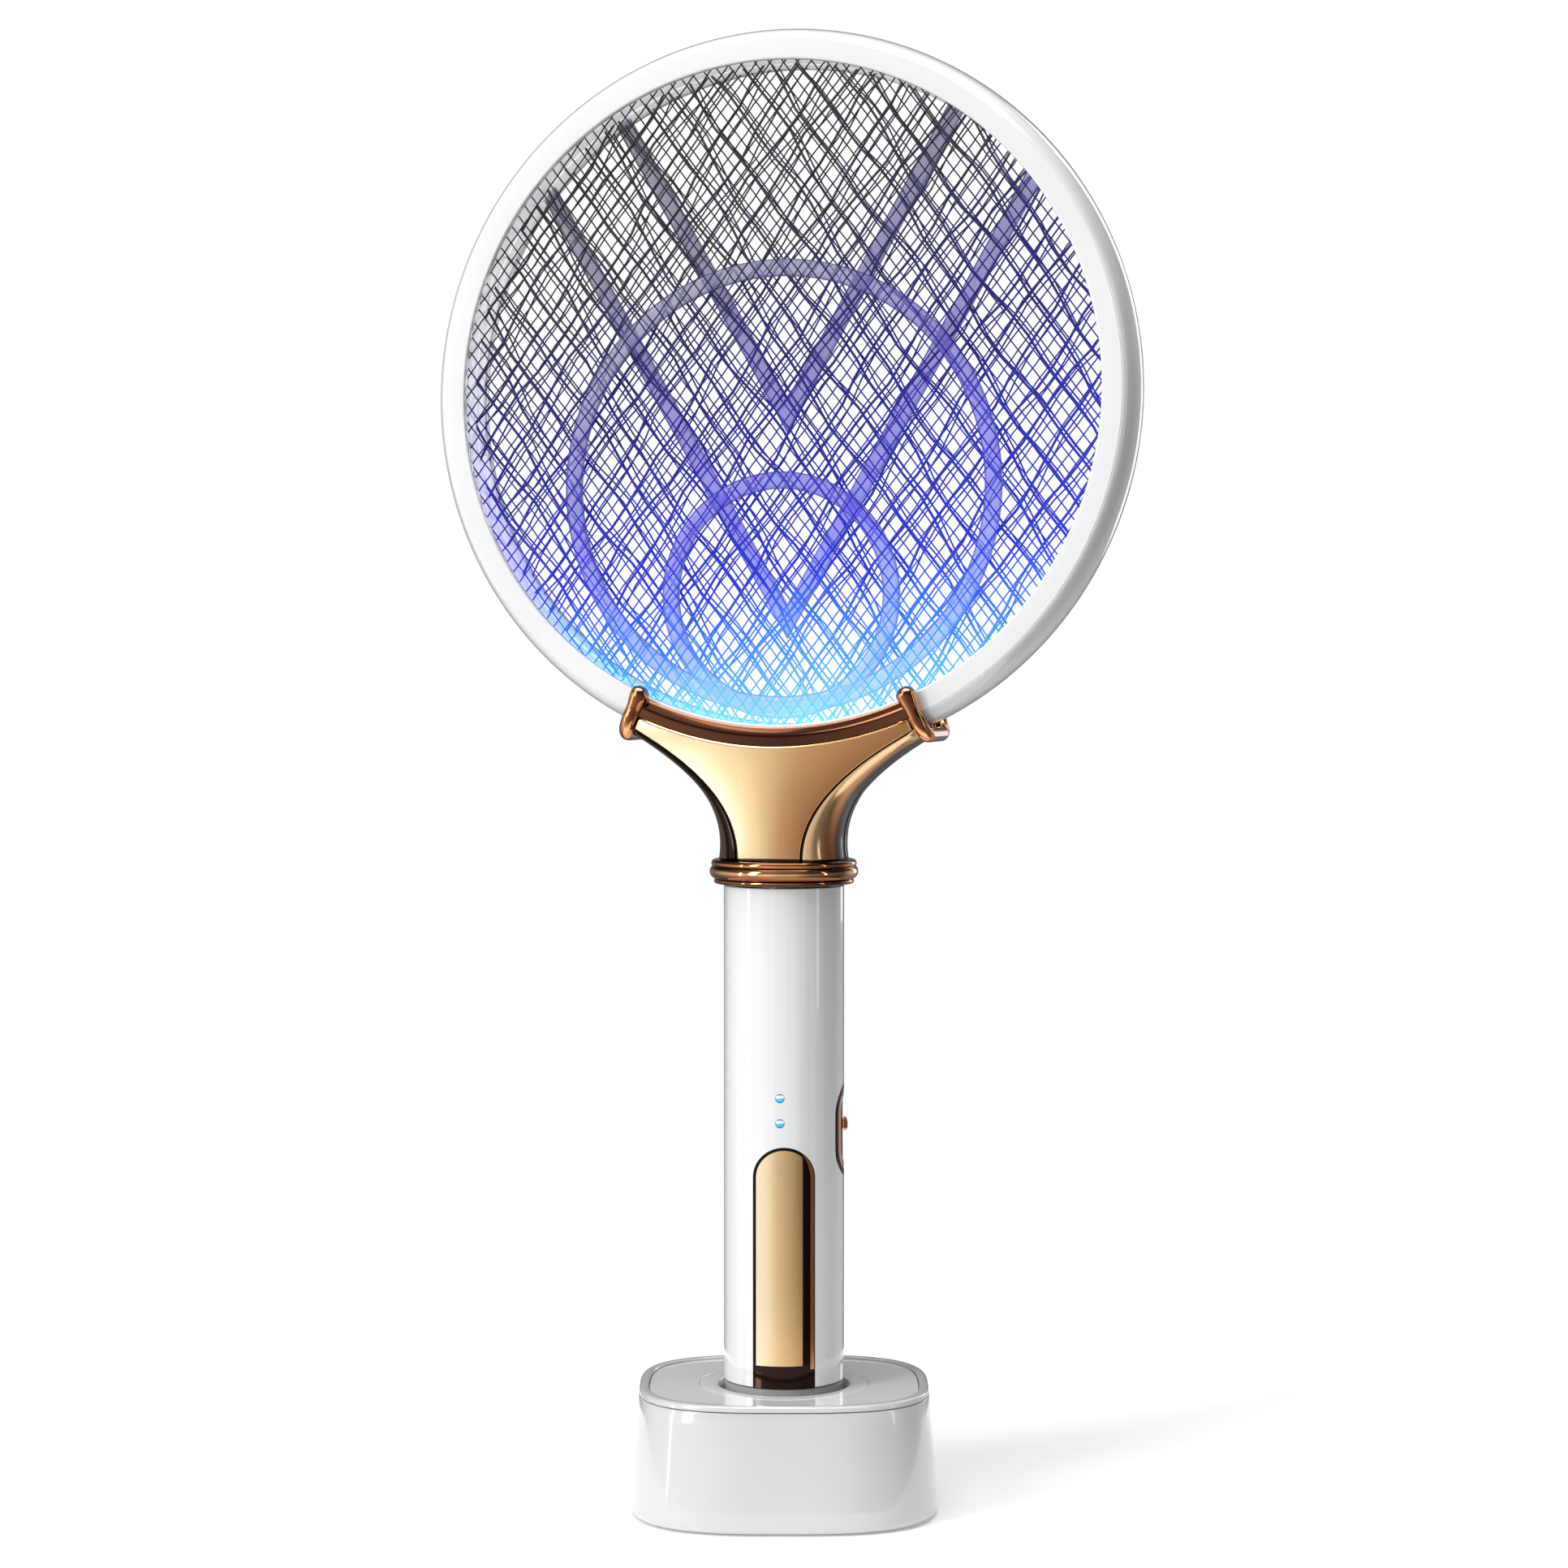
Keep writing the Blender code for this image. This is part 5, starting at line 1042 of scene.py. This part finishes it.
seat = RING_HALF + GAP
for name, side in (("front", 1), ("rear", -1)):
    section = [(BAND_IN, seat, 0), (BAND_IN, seat + 0.9 * MM, 0.3 * MM),
               (BAND_IN + 2.4 * MM, THROAT_DEPTH + 0.3 * MM, 1.6 * MM),
               (BAND_OUT, THROAT_DEPTH, 0.3 * MM), (BAND_OUT, seat, 0)]
    section = [(radius, side * height) for radius, height in softened(section, 6)]
    show(f"saddle_{name}", carried(section, EDGE_ANGLE), dark_bronze, "head",
         [f"saddle_band_{name}"], True, 45)
    edge_centre = (BAND_IN + 0.15 * MM, side * (seat + 0.95 * MM))
    section = arc(edge_centre, 0.35 * MM, 0, 2 * pi * 11 / 12, 11)
    show(f"saddle_edge_{name}", carried(section, EDGE_ANGLE), copper, "head", (), True)

# %% [markdown]
# Each ferrule is a round bead bent over the ring like a clamp. Its two ends swell into small knobs. The
# path is a straight, a corner and a straight; a circle carried along it changes its radius on the way.

# %% Ferrules
KNOB_STEPS, ROUND_STEPS = 7, 40
CORNER = 6.0 * MM
REAR_SHORTER = 2.4 * MM


def ferrule_path():
    """Places (outwards, forwards) along the bead: front arm, corner, middle, corner, shorter rear arm."""
    off_ring = GAP + FERRULE
    front = RING_HALF + off_ring
    inner, outer = MESH_RADIUS + 0.2 * MM, RING_RADIUS + off_ring
    path = [(inner + (outer - CORNER - inner) * step / 10, front) for step in range(10)]
    path += arc((outer - CORNER, front - CORNER), CORNER, pi / 2, 0, 14)
    path += [(outer, (front - CORNER) * (1 - step / 8)) for step in range(1, 8)]
    return path + [(out, -ahead) for out, ahead in reversed(path) if out >= inner + REAR_SHORTER]


def ferrule(side):
    path = ferrule_path()
    lengths = [0.0]
    for first, second in zip(path, path[1:]):
        lengths.append(lengths[-1] + hypot(second[0] - first[0], second[1] - first[1]))
    samples = []
    for number, (point, length) in enumerate(zip(path, lengths)):
        before, after = path[max(number - 1, 0)], path[min(number + 1, len(path) - 1)]
        heading = (Vector(after) - Vector(before)).normalized()
        from_end = min(length, lengths[-1] - length)
        thick = FERRULE * (1.02 + 0.14 * cos(min(from_end / (5.5 * MM), 1.0) * pi))
        samples.append((Vector(point), heading, thick))
    knobs = []
    for (point, heading, thick), outwards in ((samples[0], -1), (samples[-1], 1)):
        knob = []
        for step in range(KNOB_STEPS):
            angle = pi / 2 * step / KNOB_STEPS
            beyond = heading * (outwards * thick * cos(angle) * 0.9)
            knob.append((point + beyond, heading, thick * (sin(angle) + 0.02)))
        knobs.append(knob)
    samples = knobs[0] + samples + knobs[1][::-1]
    lean = side * FERRULE_ANGLE
    outward, forward = Vector((sin(lean), 0, -cos(lean))), Vector((0, -1, 0))
    sideways = outward.cross(forward)
    rows = []
    for point, heading, thick in samples:
        at = Vector((0, 0, HEAD_HEIGHT)) + outward * point.x + forward * point.y
        normal = outward * -heading.y + forward * heading.x
        rows.append([at + (normal * cosine + sideways * sine) * thick
                     for cosine, sine in circle(ROUND_STEPS)])
    return lofted(rows, caps=True)


ferrule_copper = facing_painted_plating()
for name, side in (("ferrule_left", -1), ("ferrule_right", 1)):
    show(f"{name}_bead", ferrule(side), ferrule_copper, "head", [name], True, 60)

# %% [markdown]
# The ring is two hollow shells, front and rear. The front has a flat band round the mesh, a shallow
# crease, and an outer wall that rounds over to the seam. One profile turned about the head's own axis
# makes the front shell, and its mirror image makes the rear.

# %% Ring shells
CREASE_RADIUS = MESH_RADIUS + 6.6 * MM
WALL_INSIDE = 8.7 * MM
head_centre = (0, 0, HEAD_HEIGHT)


def ring_profile(side):
    """Profile of one shell: flat band, crease, bulging wall, seam and the hollow inside."""
    bulge, wall_steps = RING_RADIUS - CREASE_RADIUS, 18
    seam = 0.12 * MM
    corners = [(MESH_RADIUS, WALL_INSIDE), (MESH_RADIUS, RING_HALF - 0.6 * MM)]
    corners += arc((MESH_RADIUS + 0.6 * MM, RING_HALF - 0.6 * MM), 0.6 * MM, pi, pi / 2, 5)[1:]
    corners += [(CREASE_RADIUS - 0.35 * MM, RING_HALF), (CREASE_RADIUS - 0.15 * MM, RING_HALF - 0.18 * MM),
                (CREASE_RADIUS + 0.1 * MM, RING_HALF - 0.2 * MM)]
    for step in range(1, wall_steps + 1):
        angle = pi / 2 * (1 - step / wall_steps)
        corners.append((CREASE_RADIUS + bulge * cos(angle) ** 1.35,
                        seam + (RING_HALF - 0.2 * MM - seam) * sin(angle)))
    corners += [(RING_RADIUS - 0.15 * MM, seam - 0.06 * MM), (RING_RADIUS - 2 * MM, seam - 0.06 * MM),
                (RING_RADIUS - 2.4 * MM, 5.2 * MM), (CREASE_RADIUS - 0.4 * MM, WALL_INSIDE)]
    return [(radius, side * height) for radius, height in corners]


shells = {}
for name, side in (("front", 1), ("rear", -1)):
    shape = turned(ring_profile(side), head_centre, True, 240)
    shells[name] = show(f"ring_shell_{name}", shape, gloss_white, "head", [f"ring_{name}"],
                        True, 28)
SCREW_CIRCLE = MESH_RADIUS + 4.1 * MM + GAP + 1.5 * MM
sinks = []
for number, angle in enumerate((0, 60, 120, 240, 300), 1):
    turn = radians(angle)
    at = Vector((SCREW_CIRCLE * sin(turn), RING_HALF - 0.25 * MM, HEAD_HEIGHT + SCREW_CIRCLE * cos(turn)))
    sink = [(radius, -height) for radius, height in plug(1.5 * MM, 1.2 * MM, 3 * MM)]
    sinks.append(head_turned(turned(sink, at, True, 32, False)))
    screw(f"ring_screw_head_{number}", 1.35 * MM, 0.7 * MM, at, "head", f"ring_screw_{number}", True)
cut_away(shells["rear"], *sinks)

# %% [markdown]
# Blue light from lamps at the mesh's foot is painted into the finishes as colour and glow. It is strongest
# at the bottom and towards the right, and fades to nothing at the top. The same painted fade drives the
# wires and the clear ribs: a ramp over the height, pushed a little by the distance to the right.

# %% Finishes with the lamps' light painted in
def painted_lamplight(name, stops, glow, strength, fixed, sideways=0.30, haze=0.10):
    """A finish whose colour and glow follow the height above the mesh's lowest point: painted light from the
    lamps.
    """
    finish = Finish(name, {"Emission Strength": strength, **fixed}, on_head=True)
    height = (finish.along("Z") - HEAD_HEIGHT + MESH_RADIUS) / (2 * MESH_RADIUS)
    aside = finish.along("X") / MESH_RADIUS
    cloud = finish.noise(28.0, 2.0) - 0.5
    share = height - aside * height * sideways * 0.8 + cloud * haze
    finish.feed("Base Color", finish.ramp(share, stops))
    finish.feed("Emission Color", finish.ramp(share, glow))
    finish.feed("Roughness", finish.noise(300.0, 4.0) * 0.2 + 0.2)
    return finish


BLACK = (0, 0, 0)
# Painted light: blue at the foot, fading to near black at the top.
wire_stops = [(0.0, (0.10, 0.42, 0.85)), (0.10, (0.03, 0.20, 0.70)), (0.22, (0.010, 0.02, 0.42)),
              (0.5, (0.006, 0.004, 0.16)), (0.75, (0.004, 0.004, 0.02)), (1.0, (0.003, 0.003, 0.004))]
wire_glow = [(0.0, (0.15, 0.55, 1.0)), (0.10, (0.02, 0.20, 0.85)), (0.22, (0.01, 0.02, 0.42)),
             (0.5, (0.005, 0.003, 0.10)), (0.75, BLACK), (1.0, BLACK)]
front_wire = painted_lamplight("front_wire", wire_stops, wire_glow, 0.6, {"Specular IOR Level": 0.25})
live_stops = [(0.0, (0.35, 0.68, 1.0)), (0.10, (0.10, 0.32, 0.85)), (0.22, (0.03, 0.04, 0.50)),
              (0.5, (0.022, 0.018, 0.18)), (0.75, (0.06, 0.06, 0.10)), (1.0, (0.07, 0.07, 0.075))]
thick_wire = painted_lamplight("thick_wire", live_stops, wire_glow, 0.6, {"Specular IOR Level": 0.25})


def clear_rib(name, stops, glow, strength, sideways=0.30):
    """A clear plastic rib: pale and see-through where it faces the eye, with painted shade along its edges.
    """
    finish = painted_lamplight(name, stops, glow, strength, {"Coat Weight": 0.3}, sideways)
    edge = finish.add("ShaderNodeLayerWeight", {}, {"Blend": 0.5}, "Facing")
    finish.feed("Alpha", edge * 0.5 + 0.52)
    pale_tint = finish.shader.inputs["Base Color"].links[0].from_socket
    # Painted shade darkens the edges, following how far they turn from the eye.
    painted_dark_edge = finish.mix(edge.maths("POWER", edge, 0.8), Term(finish, pale_tint), (0.02, 0.015, 0.08, 1))
    finish.feed("Base Color", painted_dark_edge)
    return finish


rib_stops = [(0.0, (0.45, 0.72, 1.0)), (0.13, (0.26, 0.38, 0.90)), (0.3, (0.14, 0.11, 0.72)),
             (0.55, (0.14, 0.10, 0.50)), (0.75, (0.14, 0.11, 0.36)), (1.0, (0.10, 0.09, 0.20))]
rib_glow = [(0.0, (0.25, 0.60, 1.0)), (0.13, (0.12, 0.25, 0.95)), (0.3, (0.10, 0.07, 0.70)),
            (0.55, (0.05, 0.03, 0.30)), (0.8, (0.01, 0.008, 0.05)), (1.0, BLACK)]
vee_clear = clear_rib("vee_clear", rib_stops, rib_glow, 0.5)
loop_stops = [(0.0, (0.55, 0.80, 1.0)), (0.13, (0.30, 0.44, 0.92)), (0.3, (0.16, 0.14, 0.70)),
              (0.5, (0.18, 0.16, 0.55)), (0.64, (0.32, 0.33, 0.48)), (1.0, (0.40, 0.42, 0.50))]
loop_clear = clear_rib("loop_clear", loop_stops, rib_glow, 0.4, 0.45)
# Painted light: the hoops glow pale blue at the foot and grey above.
hoop_glow = [(0.0, (0.20, 0.75, 1.0)), (0.15, (0.35, 0.60, 1.0)), (0.35, (0.45, 0.42, 0.95)),
             (0.6, (0.45, 0.45, 0.55)), (0.85, (0.5, 0.5, 0.5)), (1.0, (0.5, 0.5, 0.5))]
hoop_stops = [(0.0, (0.7, 0.9, 1.0)), (0.35, (0.75, 0.75, 0.95)), (0.7, (0.8, 0.8, 0.82)),
              (1.0, (0.82, 0.82, 0.82))]
hoop_clear = painted_lamplight("hoop_clear", hoop_stops, hoop_glow, 0.8, {"Coat Weight": 0.4}, sideways=0.5)
print("materials so far:", len(bpy.data.materials))

# %% [markdown]
# The grids are nets of drawn wire crossing in diamonds. Each wire is a thin tube that bows in and out
# past the wires it crosses, with a slight wander of its own, because hand-tensioned wire is never quite
# straight. The outer grids are fine and earthed; the live one between them is coarser and thicker.

# %% Wire grids
WIRE_SIDES = 5


def net(wide, tall, thick, wander, plane):
    """Diamond net of round wires inside the mesh opening, at a plane from the middle of the head."""
    lean = atan2(tall, wide)
    pitch = wide * sin(lean)
    side_of_cell = hypot(wide, tall) / 2
    reach = MESH_RADIUS + 1.5 * MM
    points, faces = [], []
    for family, direction in ((1, lean), (-1, pi - lean)):
        along = Vector((cos(direction), sin(direction)))
        across = Vector((-sin(direction), cos(direction)))
        count = int(reach / pitch)
        for number in range(-count, count + 1):
            offset = number * pitch
            half = sqrt(max(reach ** 2 - offset ** 2, 0))
            steps = max(2, int(2 * half / side_of_cell))
            phase = 1.7 * number + 2.3 * family
            first = len(points)
            for step in range(steps + 1):
                distance = -half + 2 * half * step / steps
                slow, quick = sin(distance / (17 * MM) + phase), sin(distance / (6.1 * MM) + 2 * phase)
                sway = wander * (slow + 0.5 * quick)
                weave = 0.55 * thick * family * (1 if (step + number) % 2 else -1)
                here = along * distance + across * (offset + sway)
                here *= min(1.0, reach / max(here.length, 1e-9))
                for cosine, sine in circle(WIRE_SIDES):
                    spot = here + across * (thick / 2 * cosine)
                    points.append((spot.x, plane + weave + thick / 2 * sine, HEAD_HEIGHT + spot.y))
            for step in range(steps):
                base = first + step * WIRE_SIDES
                ahead = base + WIRE_SIDES
                for side in range(WIRE_SIDES):
                    after = (side + 1) % WIRE_SIDES
                    faces.append((base + side, base + after, ahead + after, ahead + side))
            faces.append(tuple(first + side for side in reversed(range(WIRE_SIDES))))
            faces.append(tuple(first + steps * WIRE_SIDES + side for side in range(WIRE_SIDES)))
    mesh = bpy.data.meshes.new("net")
    mesh.from_pydata(points, [], faces)
    shape = bmesh.new()
    shape.from_mesh(mesh)
    bpy.data.meshes.remove(mesh)
    bmesh.ops.recalc_face_normals(shape, faces=shape.faces)
    return shape


GRID_PLANE = 8.0 * MM
for name, node, shape, finish in (
    ("front_net", "front_grid", net(4.4 * MM, 5.7 * MM, 0.46 * MM, 0.10 * MM, -GRID_PLANE), front_wire),
    ("live_net", "centre_grid", net(9.6 * MM, 13.5 * MM, 0.85 * MM, 1.2 * MM, 0.0), thick_wire),
    ("rear_net", "rear_grid", net(9.6 * MM, 13.5 * MM, 0.55 * MM, 1.5 * MM, GRID_PLANE), thick_wire),
):
    show(name, shape, finish, "head", [node], True, 80)

# %% [markdown]
# Between the grids lie two clear frames that keep them apart: loops in front, V shaped ribs behind, each
# with a hoop that fits in the ring. They carry the lamps' light upwards, and the glow of the ribs and
# hoops is painted light in their finishes.

# %% Rib frames
HOOP_OUT = MESH_RADIUS + 4.1 * MM
HOOP_NEAR, HOOP_FAR = GRID_PLANE - 0.7 * MM, 0.7 * MM
RIB_PLANE = (HOOP_NEAR + HOOP_FAR) / 2
RIB_WIDTH, RIB_THICK = 5.3 * MM, 3.2 * MM
for name, side in (("front", 1), ("rear", -1)):
    profile = [(MESH_RADIUS + 0.1 * MM, side * HOOP_NEAR, 0.4 * MM), (HOOP_OUT, side * HOOP_NEAR, 0.2 * MM),
               (HOOP_OUT, side * HOOP_FAR, 0.2 * MM), (MESH_RADIUS + 0.1 * MM, side * HOOP_FAR, 0.4 * MM)]
    show(f"{name}_hoop", turned(softened(profile), head_centre, True, 200), hoop_clear, "head",
         [f"{name}_rib_frame"], True)


def rib_section(half_width, half_thick):
    corner = 1.4 * MM
    return softened([(-half_width, -half_thick, corner), (half_width, -half_thick, corner),
                     (half_width, half_thick, corner), (-half_width, half_thick, corner)])


for name, radius, margin in (("big_loop", 66.5 * MM, 5.9 * MM), ("small_loop", 35.0 * MM, 4.4 * MM)):
    at = (0, -RIB_PLANE, HEAD_HEIGHT - MESH_RADIUS + margin + radius)
    profile = [(radius + across, out) for across, out in rib_section(RIB_WIDTH / 2, RIB_THICK / 2)]
    show(name, turned(profile, at, True, 160), loop_clear, "head", (), True)
lean = radians(30)
reach = MESH_RADIUS + 1 * MM
section = rib_section(RIB_WIDTH / 2, RIB_THICK / 2)
for name, drop in (("inner_vee", 6.0 * MM), ("outer_vee", 69.0 * MM)):
    length = drop * cos(lean) + sqrt(reach ** 2 - (drop * sin(lean)) ** 2)
    rows = []
    for side in (-1, 0, 1):
        row = []
        for across, out in section:
            if side == 0:
                x, z = 0.0, across / sin(lean)
            else:
                x = side * (sin(lean) * length - cos(lean) * across)
                z = cos(lean) * length + sin(lean) * across
            row.append((x, RIB_PLANE + out, HEAD_HEIGHT - drop + z))
        rows.append(row)
    show(name, lofted(rows, caps=True), vee_clear, "head", (), True)

# %% [markdown]
# What stays from the frame as it is sits inside the shells, or is small and simple: the cell, the
# boards, the pins. Each still gets a worked finish, because lifting the swatter or opening a shell shows
# them. The circuit boards have tracks, drawn by a brick pattern in a lighter green.

# %% Finishes for the parts that stay
board_green = Finish("board_green", {"Roughness": 0.35, "Coat Weight": 0.5})
tracks = {"Color1": (0.02, 0.20, 0.09, 1), "Color2": (0.03, 0.24, 0.11, 1), "Mortar": (0.10, 0.42, 0.20, 1),
          "Scale": 180.0, "Mortar Size": 0.03}
bricks = board_green.add("ShaderNodeTexBrick", {"offset": 0.5}, {"Vector": board_green.place(), **tracks})
board_green.feed("Base Color", bricks)
board_green.bump(board_green.noise(500.0, 2.0), 0.3, 0.00005)
lamp_white = Finish("lamp_white", {"Roughness": 0.2, "Emission Strength": 3.0})
lens = [(0, (0.7, 0.8, 1)), (1, (0.8, 0.9, 1))]
lamp_glow = [(0, (0.2, 0.6, 1)), (1, (0.4, 0.8, 1))]
lamp_white.feed("Base Color", lamp_white.ramp(lamp_white.noise(300.0), lens))
lamp_white.feed("Emission Color", lamp_white.ramp(lamp_white.noise(200.0), lamp_glow))
kept = {}
for finish, nodes in (
    (cup_grey, "base_bottom_plate"),
    (gold_contact, "charging_pin_centre charging_pin_outer contact_pad_centre contact_ring"),
    (board_green, "dock_board control_board lamp_board"),
    (black_plastic, "pin_block usb_inlet_tongue trigger_switch"),
    (steel, "usb_inlet_shell battery_clip mode_switch_body swivel_spigot retaining_clip"),
    (cell_wrap, "battery_cell hv_capacitor"),
    (winding_tape, "transformer"),
    (natural_plastic, "swivel_bush"),
    (lamp_white, "lamp_led_1 lamp_led_2"),
):
    for name in nodes.split():
        kept[name] = finish
        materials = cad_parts[name].data.materials
        materials.clear()
        materials.append(finish.material)
left = sorted(name for name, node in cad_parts.items() if not node.hide_render and name not in kept)
print("kept from the frame:", len(kept), "and without a finish:", left)

# %% [markdown]
# The studio is plain: a small pale floor, a tall key light and a narrow edge light on the left, a dim
# fill on the right, a wide light above and a strip behind. Mirror-bright metal shows its surroundings, so
# the light falls off to the right; this, together with the cream-to-copper sweep painted into the
# plating's tint, gives the plating its run from cream to copper.

# %% Floor and lights
floor_shape = bmesh.new()
bmesh.ops.create_circle(floor_shape, cap_ends=True, segments=96, radius=0.24)
floor_mesh = bpy.data.meshes.new("floor")
floor_shape.to_mesh(floor_mesh)
floor_shape.free()
floor = bpy.data.objects.new("floor", floor_mesh)
bpy.context.scene.collection.objects.link(floor)
pale = Finish("pale_floor", {"Roughness": 0.7, "Specular IOR Level": 0.2, "Emission Strength": 0.2,
                             "Emission Color": (1, 1, 1, 1)})
pale.feed("Base Color", pale.ramp(pale.noise(3.0), [(0, (0.88, 0.88, 0.88)), (1, (0.9, 0.9, 0.9))]))
floor_mesh.materials.append(pale.material)


def softbox(name, at, aim, wide, tall, power):
    """A rectangular area light that faces a point."""
    data = bpy.data.lights.new(name, "AREA")
    data.shape = "RECTANGLE"
    data.size, data.size_y = wide, tall
    data.energy = power
    light = bpy.data.objects.new(name, data)
    light.location = at
    light.rotation_mode = "QUATERNION"
    light.rotation_quaternion = (Vector(aim) - Vector(at)).to_track_quat("-Z", "Y")
    bpy.context.scene.collection.objects.link(light)


aim = (0, 0, 0.22)
softbox("key", (-1.05, -0.88, 0.75), aim, 0.3, 1.2, 12.0)
softbox("edge", (-1.5, -0.5, 0.3), (0, 0, 0.15), 0.08, 1.0, 1.6)
softbox("fill", (1.2, -0.5, 0.5), aim, 0.1, 1.0, 0.7)
softbox("top", (0, -0.15, 1.4), aim, 1.1, 0.7, 14.0)
softbox("rim", (0.7, 1.0, 0.6), aim, 0.3, 1.1, 1.5)
print("lights:", len(bpy.data.lights))

# %% [markdown]
# The room round the object is a soft gradient instead of walls. Its brightness depends on the compass
# direction, bright on the left and dim on the right, and on the height above the horizon, with a dark
# band that adds dark lines to the round beads, next to the dark lines painted into their plating. The
# camera itself sees plain white behind the object.

# %% Room round the object
world = bpy.data.worlds.new("studio")
world.use_nodes = True
bpy.context.scene.world = world
room = Recipe(world.node_tree)
direction = room.add("ShaderNodeTexCoord", {}, {}, "Generated")
to_right = room.add("ShaderNodeSeparateXYZ", {}, {0: direction}, "X")
away = room.add("ShaderNodeSeparateXYZ", {}, {0: direction}, "Y")
upwards = room.add("ShaderNodeSeparateXYZ", {}, {0: direction}, "Z")
compass = to_right.maths("ARCTAN2", to_right, away * -1) / (2 * pi) + 0.5


def greys(*stops):
    """Ramp stops of neutral greys, from pairs of position and value."""
    return [(position, (value, value, value)) for position, value in stops]


around = room.ramp(compass, greys((0.0, 0.22), (0.12, 0.2), (0.2, 0.5), (0.36, 0.85), (0.42, 1.0),
                                  (0.47, 0.7), (0.55, 0.55), (0.62, 0.2), (0.79, 0.1), (0.86, 0.55),
                                  (0.91, 0.55), (0.95, 0.2), (1.0, 0.2)))
over = room.ramp(upwards * 0.5 + 0.5, greys((0.45, 1.0), (0.6, 0.9), (0.66, 0.25), (0.78, 0.2), (0.86, 1.0)))
seen = room.add("ShaderNodeLightPath", {}, {}, "Is Camera Ray")
shown = room.mix(seen, room.mix(1.0, around, over, "MULTIPLY"), (1, 1, 1, 1))
backdrop = world.node_tree.nodes["Background"]
world.node_tree.links.new(shown.socket, backdrop.inputs["Color"])
print("room:", len(world.node_tree.nodes), "nodes")

# %% [markdown]
# A long lens from about a metre away, level with the handle's top and tilted down a little, keeps the
# dock's top visible as a narrow ellipse and the ring nearly round. The plain view transform keeps white
# plastic white.

# %% Camera
data = bpy.data.cameras.new("camera")
data.sensor_width = 36.0
data.lens = 78.0
camera = bpy.data.objects.new("camera", data)
camera.location = (0, -1.042, 0.2593)
camera.rotation_euler = (radians(90 - 2.04), 0, 0)
bpy.context.scene.collection.objects.link(camera)
bpy.context.scene.camera = camera
bpy.context.scene.view_settings.view_transform = "Standard"
print("camera", round(-camera.location.y, 2), "m away with a", data.lens, "mm lens")
